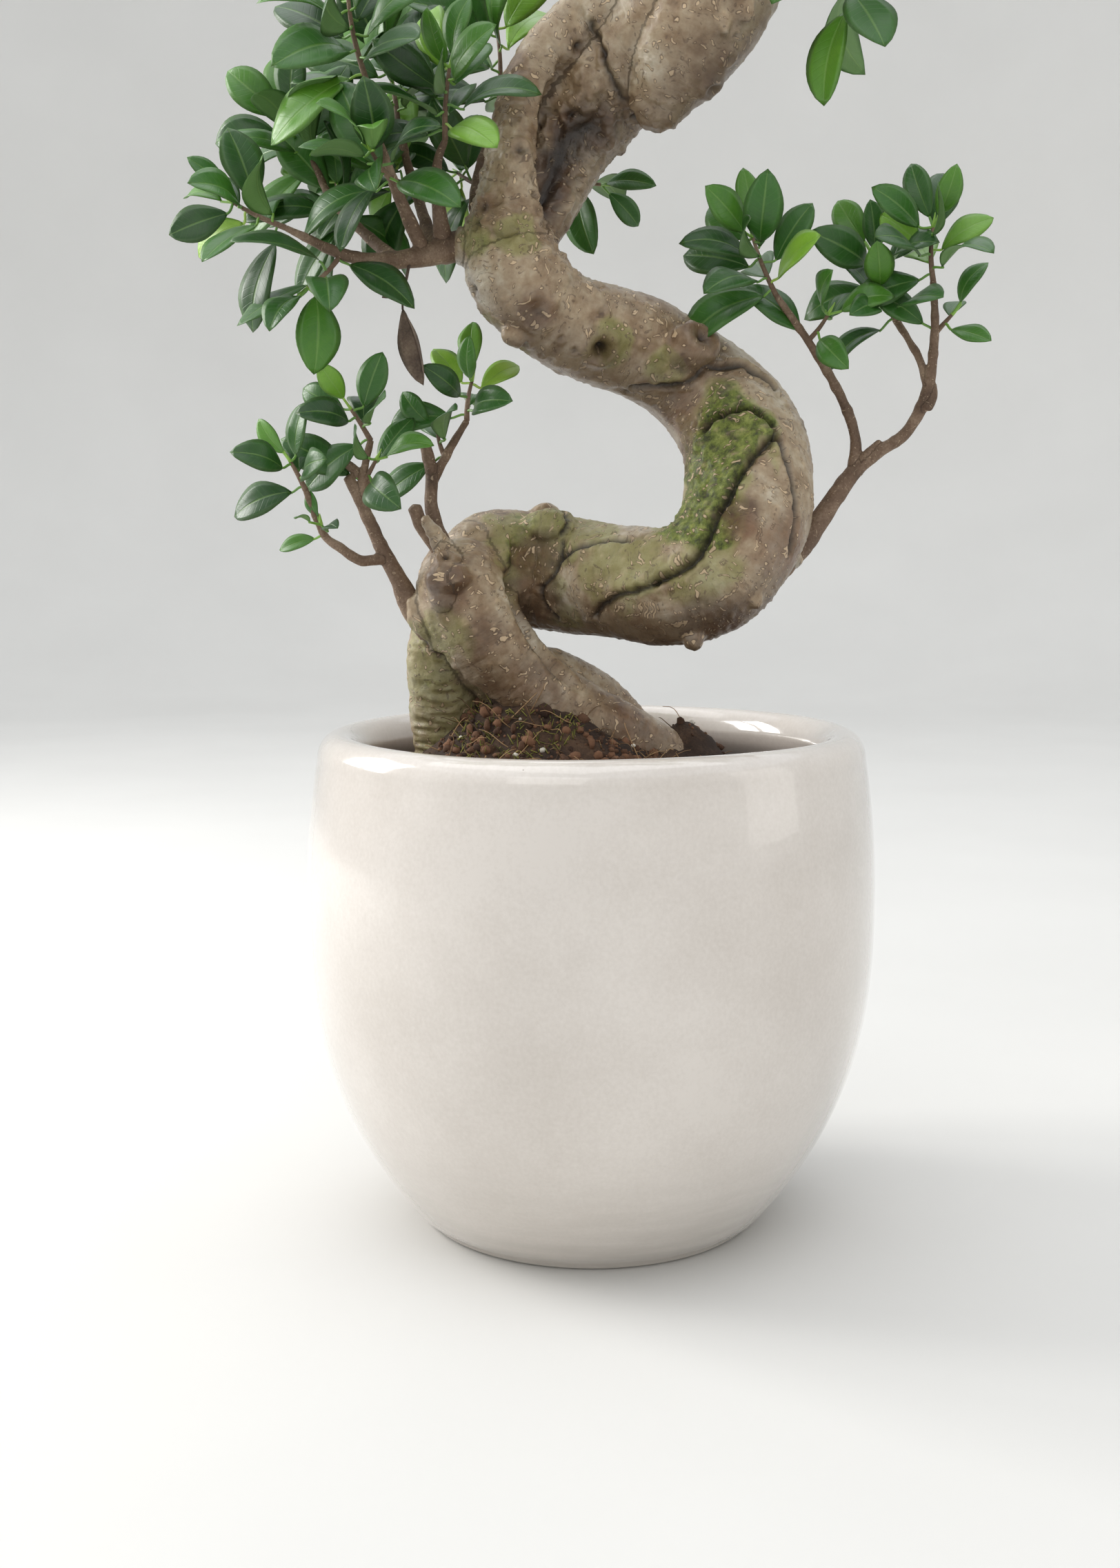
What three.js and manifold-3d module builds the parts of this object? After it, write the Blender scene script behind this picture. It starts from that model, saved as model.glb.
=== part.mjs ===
// A ficus bonsai with an S-shaped trunk, standing in a round glazed pot.
// Millimetres, +Z up. The origin is the centre of the pot's foot, on the surface it stands on,
// and the front of the tree faces -Y.
import * as THREE from "three";
import { mergeVertices } from "three/addons/utils/BufferGeometryUtils.js";
import Module from "manifold-3d";

const wasm = await Module();
wasm.setup();

// ---------------------------------------------------------------- driving dimensions

const potHeight = 263.5; // to the crest of the lip
const potRadius = 150; // at the belly
const footRadius = 90;
const bellyHeight = 172; // where the pot is widest
const shoulderInset = 9; // how far the wall has come in again at the top
const wall = 9;
const floorThickness = 12;
const lipWidth = 23; // across the rolled lip
const lipDrop = 13.5; // from the lip's crest down to its widest level
const lipReturn = 22; // height over which the roll runs back into the wall below it
const drainRadius = 6;
const drainRingRadius = 45;
const drainCount = 3;
const footBevel = 3;

const soilDrop = 13.5; // from the lip's crest down to the level that the tree is measured from
const soilEdgeDrop = 27; // from the lip's crest down to the soil at the wall
const moundRise = 32;
const moundWidth = 52;
const moundCentre = [-34, 8];
const rootedMouthRadius = 120.46; // the pot mouth for which the roots take their listed places

const treeScale = 1; // stretches the whole tree about the middle of the soil
const girth = 1; // stretches the thickness of the trunk alone
const twigRadius = 1.3;
const twigLength = 24;
const leafLength = 40;
const leafWidth = 19;
const leafThickness = 1.4;
const stalkRadius = 0.7;
const deadLeafLength = 38;

const seatGap = 0.3; // between pieces that touch
const leafClearance = 0.5; // kept between a leaf and everything that it grew past

// Turns round the twig from one leaf to the next, as leaves grow on a ficus.
const leafTurn = THREE.MathUtils.degToRad(137.5);

// ---------------------------------------------------------------- the tree's routes
// Each row is [x, y, height above the soil level, radius].

const trunkRoutes = {
  frontLeg: [
    [92, 10, -60, 7], [74, 9, -38, 13], [48, 7, -14, 18], [25, 4, 0, 19.5], [-6, 0, 16, 20.5],
    [-36, -5, 38, 22], [-57, -11, 64, 24.5], [-66, -9, 86, 26], [-66, 0, 103, 20],
  ],
  serpent: [
    [-70, 4, 88, 18], [-56, 12, 97, 28], [-32, 24, 95, 31], [-6, 17, 91, 31], [16, 2, 89, 29.5],
    [40, -12, 87, 30], [63, -17, 95, 31.5], [77, -12, 116, 32.5], [82, 0, 139, 33.5],
    [79, 12, 162, 32.5], [64, 19, 183, 29.5], [46, 18, 198, 27], [24, 10, 210, 26],
    [4, 3, 216, 25], [-18, -6, 225, 24], [-33, -13, 237, 24.5], [-41, -14, 251, 24.5],
    [-40, -8, 268, 24], [-34, 8, 288, 24.5], [-23, 16, 308, 27], [-8, 12, 326, 31],
    [10, 2, 334, 33], [28, -12, 342, 34], [46, -19, 358, 33], [62, -22, 380, 31],
    [74, -16, 406, 29], [74, 0, 434, 26], [58, 12, 458, 23], [36, 14, 478, 20],
    [16, 8, 498, 17], [4, 0, 522, 14], [2, -4, 548, 11], [6, -4, 572, 7],
  ],
  leftLeg: [
    [-70, 36, -70, 8], [-76, 26, -42, 13], [-75, 19, -14, 17.5], [-76, 14, 20, 19.5],
    [-76, 5, 54, 21], [-71, -4, 78, 20],
  ],
  backRoot: [
    [60, 50, -54, 7], [44, 38, -28, 9], [24, 26, 8, 11.5], [8, 20, 24, 13], [-18, 8, 39, 15],
    [-34, 0, 46, 12],
  ],
  cutStub: [[-70, -16, 100, 8], [-79, -24, 114, 5], [-85, -28, 123, 4]],
  callus: [[-67, -26, 74, 8], [-69, -31, 88, 9.5], [-68, -28, 101, 8]],
};

const branchRoutes = {
  low_left_branch: [
    [[-80, -8, 60, 7], [-91, -10, 74, 6.4], [-99, -14, 91, 4.6], [-106, -18, 105, 3.9],
      [-113, -20, 121, 3.2], [-123, -24, 143, 2.8]],
    [[-117, -22, 134, 2.4], [-114, -24, 150, 2.1], [-111, -26, 161, 1.7]],
    [[-105, -18, 102, 3.2], [-117, -24, 101, 2.8], [-126, -28, 107, 2.4], [-134, -30, 113, 2],
      [-143, -34, 136, 1.6]],
  ],
  low_middle_branch: [
    [[-72, -10, 102, 6], [-78, -13, 113, 4.6], [-82, -12, 128, 3.4], [-82, -9, 146, 3.2],
      [-84, -8, 154, 2.8]],
    [[-82, -9, 140, 2.8], [-72, -6, 159, 2.3], [-64, -4, 172, 1.9]],
  ],
  right_branch: [
    [[90, -4, 92, 8], [106, 0, 106, 7], [120, 4, 123, 5.4], [137, 6, 147, 4.2], [148, 4, 156, 3.6],
      [162, 0, 166, 3.2], [171, -6, 186, 3], [173, -12, 216, 2.3], [171, -15, 240, 1.8]],
    [[136, 6, 144, 3.4], [137, 6, 162, 2.9], [131, 4, 180, 2.6], [113, 0, 209, 2.2],
      [94, -4, 234, 1.8]],
    [[171, -7, 190, 2.4], [167, -4, 203, 2.1], [155, 4, 225, 1.8], [150, 8, 238, 1.6]],
  ],
  left_branch: [
    [[-50, -10, 255, 11], [-65, -11, 258, 8.4], [-74, -14, 256, 7], [-89, -20, 251, 5.2],
      [-105, -26, 249, 3.8], [-122, -30, 251, 3.1], [-150, -37, 263, 1.8]],
    [[-98, -24, 250, 3.6], [-112, -14, 262, 2.9], [-133, 0, 284, 2.4], [-140, 5, 298, 1.8]],
    [[-74, -14, 257, 5], [-76, -22, 276, 3.4], [-76, -26, 296, 2.4], [-72, -28, 306, 1.8]],
    [[-80, -16, 256, 4.4], [-84, -4, 270, 3.2], [-91, 12, 290, 2.7], [-100, 22, 322, 1.8]],
    [[-84, -18, 254, 4], [-96, -34, 282, 2.8], [-106, -36, 312, 2.2], [-110, -34, 334, 1.8]],
  ],
  back_left_branch: [
    [[-44, 0, 262, 6], [-60, 24, 280, 3.6], [-60, 40, 302, 2.8], [-50, 56, 340, 1.8]],
    [[-60, 38, 299, 2.4], [-38, 50, 306, 2], [-14, 56, 304, 1.6]],
  ],
  upper_right_branch: [
    [[60, -20, 382, 8], [98, -26, 412, 4.2], [122, -24, 432, 3.4], [146, -20, 462, 1.8]],
    [[104, -26, 416, 3], [114, -28, 410, 2.4], [120, -28, 396, 1.6]],
  ],
  crown_left_branch: [
    [[22, 8, 496, 7], [-4, 4, 510, 4.2], [-34, -3, 524, 3.2], [-60, -9, 546, 1.8]],
  ],
  crown_right_branch: [
    [[8, 2, 518, 6], [28, -8, 532, 3.8], [50, -12, 546, 2.8], [66, -16, 562, 1.8]],
  ],
  crown_front_branch: [
    [[3, -2, 536, 5], [0, -24, 549, 3.2], [-5, -46, 564, 1.8]],
  ],
  crown_back_branch: [
    [[4, -2, 548, 5], [8, 20, 556, 3.2], [12, 48, 574, 1.8]],
  ],
  crown_top_branch: [
    [[6, -4, 566, 5], [4, -4, 584, 3.6], [2, -2, 600, 1.8]],
  ],
  upper_back_branch: [
    [[72, 4, 438, 7], [74, 34, 454, 3.4], [72, 60, 476, 1.8]],
  ],
  upper_front_branch: [
    [[38, 12, 476, 7], [34, -16, 488, 3.4], [28, -44, 508, 1.8]],
  ],
};

// Each row is [branch, limb of it, share of the way along, [direction], leaves, size]:
// size stretches the leaves and their twig.
const sprayRows = {
  low_left_top_leaves: ["low_left_branch", 1, 1, [-0.5, -0.1, 0.9], 4, 0.85],
  low_left_inner_leaves: ["low_left_branch", 1, 0.15, [0.5, -0.4, 0.7], 4, 0.85],
  low_left_outer_leaves: ["low_left_branch", 2, 1, [-0.4, -0.1, 0.9], 4, 0.75],
  low_left_young_leaves: ["low_left_branch", 2, 0.75, [-0.3, -0.6, 0.6], 3, 0.4],
  low_middle_top_leaves: ["low_middle_branch", 1, 1, [0, 0, 1], 5, 0.85],
  low_middle_side_leaves: ["low_middle_branch", 1, 0.35, [-0.4, 0.2, 0.8], 3, 0.75],
  right_inner_leaves: ["right_branch", 1, 1, [-0.5, -0.1, 0.9], 7, 1],
  right_low_leaves: ["right_branch", 1, 0.78, [0.6, -0.4, 0.6], 4, 0.9],
  right_middle_leaves: ["right_branch", 2, 1, [-0.2, 0.3, 1], 5, 0.9],
  right_side_leaves: ["right_branch", 2, 0.62, [-0.5, -0.5, 0.5], 3, 0.8],
  right_outer_leaves: ["right_branch", 0, 1, [-0.2, -0.1, 1], 6, 0.9],
  right_edge_leaves: ["right_branch", 0, 0.87, [0.6, 0, 0.7], 3, 0.7],
  left_outer_leaves: ["left_branch", 0, 1, [-0.8, 0, 0.3], 5, 0.9],
  left_drooping_leaves: ["left_branch", 0, 0.84, [-0.4, -0.4, -0.7], 4, 0.9],
  left_far_leaves: ["left_branch", 1, 1, [-0.5, 0.3, 0.8], 6, 1],
  left_rear_leaves: ["left_branch", 1, 0.5, [-0.4, 0.8, 0.5], 5, 0.9],
  left_inner_leaves: ["left_branch", 2, 1, [0, -0.3, 0.9], 6, 0.9],
  left_top_leaves: ["left_branch", 3, 1, [-0.1, 0.3, 0.9], 7, 1],
  left_heart_leaves: ["left_branch", 3, 0.67, [-0.6, 0.5, 0.3], 4, 0.9],
  left_tall_leaves: ["left_branch", 4, 1, [-0.3, -0.2, 0.9], 7, 1],
  left_front_leaves: ["left_branch", 4, 0.35, [-0.3, -0.9, 0.3], 5, 1],
  back_left_top_leaves: ["back_left_branch", 0, 1, [0.1, 0.1, 1], 7, 1.15],
  back_left_low_leaves: ["back_left_branch", 0, 0.6, [-0.5, 0.8, 0.3], 4, 0.9],
  back_inner_leaves: ["back_left_branch", 1, 1, [0.7, 0.2, -0.2], 4, 1],
  upper_right_leaves: ["upper_right_branch", 0, 1, [0.6, 0, 0.7], 7, 1],
  upper_right_inner_leaves: ["upper_right_branch", 0, 0.67, [0, -0.5, 0.8], 5, 1],
  upper_right_low_leaves: ["upper_right_branch", 1, 1, [0.1, -0.1, -1], 4, 1],
  upper_back_leaves: ["upper_back_branch", 0, 1, [0.1, 0.6, 0.8], 6, 1],
  upper_front_leaves: ["upper_front_branch", 0, 1, [-0.2, -0.6, 0.8], 6, 1],
  crown_left_leaves: ["crown_left_branch", 0, 1, [-0.6, 0, 0.7], 7, 1],
  crown_left_inner_leaves: ["crown_left_branch", 0, 0.62, [-0.1, -0.6, 0.7], 5, 1],
  crown_right_leaves: ["crown_right_branch", 0, 1, [0.6, -0.1, 0.7], 7, 1],
  crown_right_inner_leaves: ["crown_right_branch", 0, 0.6, [0.1, 0.6, 0.7], 5, 1],
  crown_front_leaves: ["crown_front_branch", 0, 1, [-0.1, -0.6, 0.7], 7, 1],
  crown_back_leaves: ["crown_back_branch", 0, 1, [0.1, 0.6, 0.7], 7, 1],
  crown_top_leaves: ["crown_top_branch", 0, 1, [0, 0, 1], 6, 1],
};

// ---------------------------------------------------------------- materials

const glaze = new THREE.MeshStandardMaterial({ color: 0xece7df, roughness: 0.15, metalness: 0 });
const soilBrown = new THREE.MeshStandardMaterial({ color: 0x3b2a20, roughness: 1, metalness: 0 });
const bark = new THREE.MeshStandardMaterial({ color: 0x8d7f6b, roughness: 0.8, metalness: 0 });
const twigBark = new THREE.MeshStandardMaterial({ color: 0x5d4a3d, roughness: 0.8, metalness: 0 });
const leafGreen = new THREE.MeshStandardMaterial({ color: 0x2c6a2a, roughness: 0.35, metalness: 0 });
const deadBrown = new THREE.MeshStandardMaterial({ color: 0x6e5a48, roughness: 0.9, metalness: 0 });

// ---------------------------------------------------------------- solids

function solidFrom(geometry) {
  geometry.deleteAttribute("normal");
  geometry.deleteAttribute("uv");
  const merged = mergeVertices(geometry, 1e-3);
  const vertProperties = new Float32Array(merged.attributes.position.array);
  const triVerts = new Uint32Array(merged.index.array);
  return new wasm.Manifold(new wasm.Mesh({ numProp: 3, vertProperties, triVerts }));
}

function meshFrom(name, solid, material) {
  const { vertProperties, triVerts } = solid.getMesh();
  const geometry = new THREE.BufferGeometry();
  geometry.setAttribute("position", new THREE.BufferAttribute(vertProperties, 3));
  geometry.setIndex(new THREE.BufferAttribute(triVerts, 1));
  geometry.computeVertexNormals();
  const mesh = new THREE.Mesh(geometry, material.clone());
  mesh.name = name;
  return mesh;
}

const joined = (solids) => solids.reduce((whole, piece) => whole.add(piece));

function routeCurve(stations) {
  const centres = stations.map(([x, y, z]) => new THREE.Vector3(x, y, z).multiplyScalar(treeScale));
  return new THREE.CatmullRomCurve3(centres);
}

// A round limb along a row of stations: a capped cylinder whose rings are moved onto the curve.
// Grow widens it and moves both its ends outwards.
function limb(stations, sides, stepLength, thicken = 1, grow = 0) {
  const curve = routeCurve(stations);
  const steps = Math.max(2, Math.round(curve.getLength() / stepLength));
  const frames = curve.computeFrenetFrames(steps);
  const radiusAt = (t) => {
    const place = t * (stations.length - 1);
    const before = Math.min(Math.floor(place), stations.length - 2);
    const radius = THREE.MathUtils.lerp(stations[before][3], stations[before + 1][3], place - before);
    return radius * thicken * treeScale + grow;
  };
  const geometry = new THREE.CylinderGeometry(1, 1, 1, sides, steps);
  const position = geometry.attributes.position;
  const point = new THREE.Vector3();
  for (let i = 0; i < position.count; i++) {
    const ring = Math.round((0.5 - position.getY(i)) * steps);
    const t = curve.getUtoTmapping(ring / steps);
    const radius = radiusAt(t);
    const outward = grow * ((ring === steps) - (ring === 0));
    curve.getPoint(t, point);
    point.addScaledVector(frames.tangents[ring], outward);
    point.addScaledVector(frames.normals[ring], position.getX(i) * radius);
    point.addScaledVector(frames.binormals[ring], position.getZ(i) * radius);
    position.setXYZ(i, point.x, point.y, point.z);
  }
  return solidFrom(geometry);
}

// ---------------------------------------------------------------- pot

const lipLevel = potHeight - lipDrop;
const soilLevel = potHeight - soilDrop;
const soilEdge = potHeight - soilEdgeDrop;
const potSides = 36;

function wallRadius(z) {
  if (z < bellyHeight) {
    const bulge = 1 - Math.pow(1 - z / bellyHeight, 2.55);
    return footRadius + (potRadius - footRadius) * bulge;
  }
  const rise = (z - bellyHeight) / (potHeight - bellyHeight);
  return potRadius - shoulderInset * rise * rise;
}

const mouthRadius = wallRadius(lipLevel) - lipWidth;
const lipCentreRadius = mouthRadius + lipWidth / 2;

// The inside runs straight down below the lip's return, which eases out into the wall.
function innerRadius(z) {
  const plain = wallRadius(z) - wall;
  const ease = THREE.MathUtils.smoothstep(z, lipLevel - lipReturn, lipLevel);
  return THREE.MathUtils.lerp(plain, mouthRadius, ease);
}

function heights(low, high, count) {
  return Array.from({ length: count + 1 }, (_, i) => THREE.MathUtils.lerp(low, high, i / count));
}

// The soil's side follows these same levels, so that it lies along the wall all the way down.
const insideLevels = heights(floorThickness, soilEdge, 6);

function makePot() {
  const profile = [new THREE.Vector2(0, 0), new THREE.Vector2(footRadius - footBevel, 0)];
  for (const z of heights(footBevel, lipLevel, 9)) profile.push(new THREE.Vector2(wallRadius(z), z));
  const lipSteps = 7;
  for (let i = 1; i < lipSteps; i++) {
    const angle = (i / lipSteps) * Math.PI;
    const radius = lipCentreRadius + (Math.cos(angle) * lipWidth) / 2;
    profile.push(new THREE.Vector2(radius, lipLevel + Math.sin(angle) * lipDrop));
  }
  const inside = [lipLevel, (lipLevel + soilEdge) / 2, ...insideLevels.toReversed()];
  for (const z of inside) profile.push(new THREE.Vector2(innerRadius(z), z));
  profile.push(new THREE.Vector2(0, floorThickness));
  let pot = solidFrom(new THREE.LatheGeometry(profile, potSides).rotateX(Math.PI / 2));
  for (let i = 0; i < drainCount; i++) {
    const angle = (i / drainCount) * Math.PI * 2;
    const drill = new THREE.CylinderGeometry(drainRadius, drainRadius, floorThickness * 3, 12);
    drill.rotateX(Math.PI / 2);
    drill.translate(Math.cos(angle) * drainRingRadius, Math.sin(angle) * drainRingRadius, 0);
    pot = pot.subtract(solidFrom(drill));
  }
  return pot;
}

// ---------------------------------------------------------------- soil

function moundHeight(x, y) {
  const away = Math.hypot(x - moundCentre[0], y - moundCentre[1]) / moundWidth;
  return soilEdge + moundRise * Math.exp(-away * away);
}

function makeSoil(roots) {
  const bottom = floorThickness + seatGap;
  const rimRadius = innerRadius(soilEdge) - seatGap;
  const profile = [new THREE.Vector2(0, bottom)];
  for (const z of insideLevels) {
    profile.push(new THREE.Vector2(innerRadius(z) - seatGap, Math.max(z, bottom)));
  }
  for (let ring = 5; ring >= 0; ring--) profile.push(new THREE.Vector2((rimRadius * ring) / 6, soilEdge));
  const geometry = new THREE.LatheGeometry(profile, potSides).rotateX(Math.PI / 2);
  const position = geometry.attributes.position;
  for (let i = 0; i < position.count; i++) {
    const onTop = Math.abs(position.getZ(i) - soilEdge) < 1e-3;
    const atWall = Math.hypot(position.getX(i), position.getY(i)) > rimRadius - 1e-3;
    if (onTop && !atWall) position.setZ(i, moundHeight(position.getX(i), position.getY(i)));
  }
  return solidFrom(geometry).subtract(roots);
}

// ---------------------------------------------------------------- tree

const trunkSides = { frontLeg: 10, serpent: 10, leftLeg: 10, backRoot: 8, cutStub: 6, callus: 6 };
const trunkStep = { frontLeg: 18, serpent: 18, leftLeg: 20, backRoot: 20, cutStub: 12, callus: 10 };

// The roots stand closer together in a narrower pot.
function spreadRoot([x, y, height, radius]) {
  const spread = height > 0 ? 1 : mouthRadius / rootedMouthRadius;
  return [x * spread, y * spread, height, radius];
}

function makeTrunk(grow = 0) {
  const limbs = Object.entries(trunkRoutes).map(([name, stations]) =>
    limb(stations.map(spreadRoot), trunkSides[name], trunkStep[name], girth, grow),
  );
  return joined(limbs).translate(0, 0, soilLevel);
}

function makeBranch(routes, grow = 0) {
  const limbs = routes.map((stations) => limb(stations, 6, 20, 1, grow));
  return joined(limbs).translate(0, 0, soilLevel);
}

// A leaf that points along +Y from its foot at the origin, with its face towards +Z.
function leafBlade(length, width) {
  const outline = [
    new THREE.Vector2(0, 0),
    new THREE.Vector2(stalkRadius, 0),
    new THREE.Vector2(width / 2, length * 0.6),
    new THREE.Vector2(0, length),
  ];
  const blade = new THREE.LatheGeometry(outline, 4);
  const position = blade.attributes.position;
  const half = leafThickness / 2;
  for (let i = 0; i < position.count; i++) {
    position.setZ(i, THREE.MathUtils.clamp(position.getZ(i), -half, half));
  }
  return blade;
}

const up = new THREE.Vector3(0, 0, 1);

// Stands a leaf on its foot: it points along direction, and its face looks as far up as it can.
function standLeaf(blade, foot, direction) {
  const side = new THREE.Vector3().crossVectors(direction, up).normalize();
  const face = new THREE.Vector3().crossVectors(side, direction);
  blade.applyMatrix4(new THREE.Matrix4().makeBasis(side, direction, face));
  return solidFrom(blade.translate(foot.x, foot.y, foot.z));
}

function isClear(candidate, obstacles) {
  return obstacles.every((other) => candidate.minGap(other, leafClearance) >= leafClearance);
}

// A twig with its leaves: each one leans out from the twig and turns on from the one before it.
// A leaf that would meet another piece turns further round, and it is left out if no turn is free.
function makeSpray([branch, limbNumber, share, axis, leaves, size], obstacles) {
  const along = new THREE.Vector3(...axis).normalize();
  const start = routeCurve(branchRoutes[branch][limbNumber]).getPoint(share);
  start.addScaledVector(along, -twigRadius / 2);
  const across = new THREE.Vector3().crossVectors(along, new THREE.Vector3(0.2, 1, 0.1)).normalize();
  const reach = twigLength * size;
  const end = start.clone().addScaledVector(along, reach);
  const twigRadii = [twigRadius, twigRadius * 0.7];
  const stations = [start, end].map((p, i) => [...p.clone().divideScalar(treeScale), twigRadii[i]]);
  let spray = limb(stations, 4, reach).translate(0, 0, soilLevel);
  for (let i = 0; i < leaves; i++) {
    const share = 0.35 + (0.62 * i) / leaves;
    const lean = THREE.MathUtils.lerp(1.35, 0.35, i / leaves);
    const growth = THREE.MathUtils.lerp(1, 0.75, i / leaves) * size;
    const leafFoot = start.clone().addScaledVector(along, reach * share);
    leafFoot.z += soilLevel;
    for (let attempt = 0; attempt < 6; attempt++) {
      const turn = leafTurn * i + attempt * 0.5;
      const outward = across.clone().applyAxisAngle(along, turn);
      const direction = along.clone().multiplyScalar(Math.cos(lean));
      direction.addScaledVector(outward, Math.sin(lean)).normalize();
      const blade = leafBlade(leafLength * growth, leafWidth * growth);
      const leaf = standLeaf(blade, leafFoot, direction);
      if (isClear(leaf, obstacles)) {
        spray = spray.add(leaf);
        break;
      }
    }
  }
  return spray;
}

function makeDeadLeaf() {
  const [x, y, z] = [-92, -27, 249];
  const hanging = limb([[-92, -22, z, 1.1], [x, y, z - 8, 1], [x, y, z - 20, 0.9]], 5, 12);
  const blade = leafBlade(deadLeafLength, deadLeafLength * 0.3);
  const foot = new THREE.Vector3(x, y, z - 18).multiplyScalar(treeScale);
  const leaf = standLeaf(blade, foot, new THREE.Vector3(0.12, 0.02, -1).normalize());
  return hanging.add(leaf).translate(0, 0, soilLevel);
}

// ---------------------------------------------------------------- assembly

const trunk = makeTrunk();
const trunkSeat = makeTrunk(seatGap);
const pot = makePot();
const soil = makeSoil(trunkSeat);

const group = new THREE.Group();
group.add(meshFrom("pot", pot, glaze));
group.add(meshFrom("soil", soil, soilBrown));
group.add(meshFrom("trunk", trunk, bark));

const placed = [pot, trunk];
const branchSeats = {};
for (const [name, routes] of Object.entries(branchRoutes)) {
  const branch = makeBranch(routes).subtract(trunkSeat);
  branchSeats[name] = makeBranch(routes, seatGap);
  group.add(meshFrom(name, branch, twigBark));
  placed.push(branch);
}

const deadLeaf = makeDeadLeaf().subtract(branchSeats.left_branch);
group.add(meshFrom("dead_leaf", deadLeaf, deadBrown));
placed.push(deadLeaf);

for (const [name, row] of Object.entries(sprayRows)) {
  const spray = makeSpray(row, placed).subtract(branchSeats[row[0]]);
  group.add(meshFrom(name, spray, leafGreen));
  placed.push(spray);
}

export default group;
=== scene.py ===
"""A ficus bonsai with an S-shaped trunk, in a round glazed pot.

Metres, +Z up. The tables below are in millimetres, and heights in them are above the soil level.
The front of the tree faces -Y.
"""

import itertools
import math
import random

import bpy
import numpy as np
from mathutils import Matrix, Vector
from mathutils.bvhtree import BVHTree


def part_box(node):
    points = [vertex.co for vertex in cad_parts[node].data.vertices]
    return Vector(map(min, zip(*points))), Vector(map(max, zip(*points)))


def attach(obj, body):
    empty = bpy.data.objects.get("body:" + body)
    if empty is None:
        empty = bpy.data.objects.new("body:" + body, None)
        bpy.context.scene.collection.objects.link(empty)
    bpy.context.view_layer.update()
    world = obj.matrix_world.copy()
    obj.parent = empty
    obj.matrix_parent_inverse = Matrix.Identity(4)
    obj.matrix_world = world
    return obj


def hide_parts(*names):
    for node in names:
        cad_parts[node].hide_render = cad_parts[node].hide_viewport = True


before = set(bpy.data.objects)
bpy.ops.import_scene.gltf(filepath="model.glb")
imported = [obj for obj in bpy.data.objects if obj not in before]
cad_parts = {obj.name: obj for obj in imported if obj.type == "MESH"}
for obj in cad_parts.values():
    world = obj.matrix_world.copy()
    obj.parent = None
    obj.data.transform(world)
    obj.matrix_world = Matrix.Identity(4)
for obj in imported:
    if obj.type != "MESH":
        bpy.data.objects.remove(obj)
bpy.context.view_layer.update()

MM = 0.001

# ---------------------------------------------------------------- sizes

POT_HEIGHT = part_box("pot")[1].z
POT_RADIUS = 150 * MM
FOOT_RADIUS = 90 * MM
BELLY_HEIGHT = 172 * MM
SHOULDER_INSET = 9 * MM
WALL = 9 * MM
FLOOR_THICKNESS = 12 * MM
LIP_WIDTH = 23 * MM
LIP_DROP = 13.5 * MM
LIP_RETURN = 22 * MM
FOOT_BEVEL = 3 * MM
DRAIN_RADIUS = 6 * MM
DRAIN_RING = 45 * MM
DRAIN_COUNT = 3
POT_SIDES = 144
INNER_STEPS, LIP_STEPS, OUTER_STEPS, BEVEL_STEPS = 40, 24, 58, 4  # of the pot's section

SOIL_LEVEL = POT_HEIGHT - 13.5 * MM  # the level that the tree's heights are measured from
SOIL_EDGE = POT_HEIGHT - 27 * MM  # where the soil meets the pot
MOUND_RISE = 32 * MM
MOUND_WIDTH = 52 * MM
MOUND_CENTRE = (-34 * MM, 8 * MM)

TRUNK_GRAIN, BRANCH_GRAIN = 1.3 * MM, 0.75 * MM  # the spacing of their meshes
TRUNK_STEP, BRANCH_STEP = 5 * MM, 2 * MM  # between the rings of the tubes they grow from
TRUNK_SIDES, BRANCH_SIDES = 28, 14
GOLDEN_TURN = math.radians(137.5)
SPAN_STEPS = 16  # points on a route from one station to the next
LIMB_GAP = 0.2  # between the limbs' places in the bark's pattern
BATCH = 6000  # corners handled at a time, to spare memory
HASH_FACTORS = (73856093, 19349663, 83492791, 6971)

# ---------------------------------------------------------------- the tree's routes
# Each station is [x, y, height above the soil level, radius].

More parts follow.
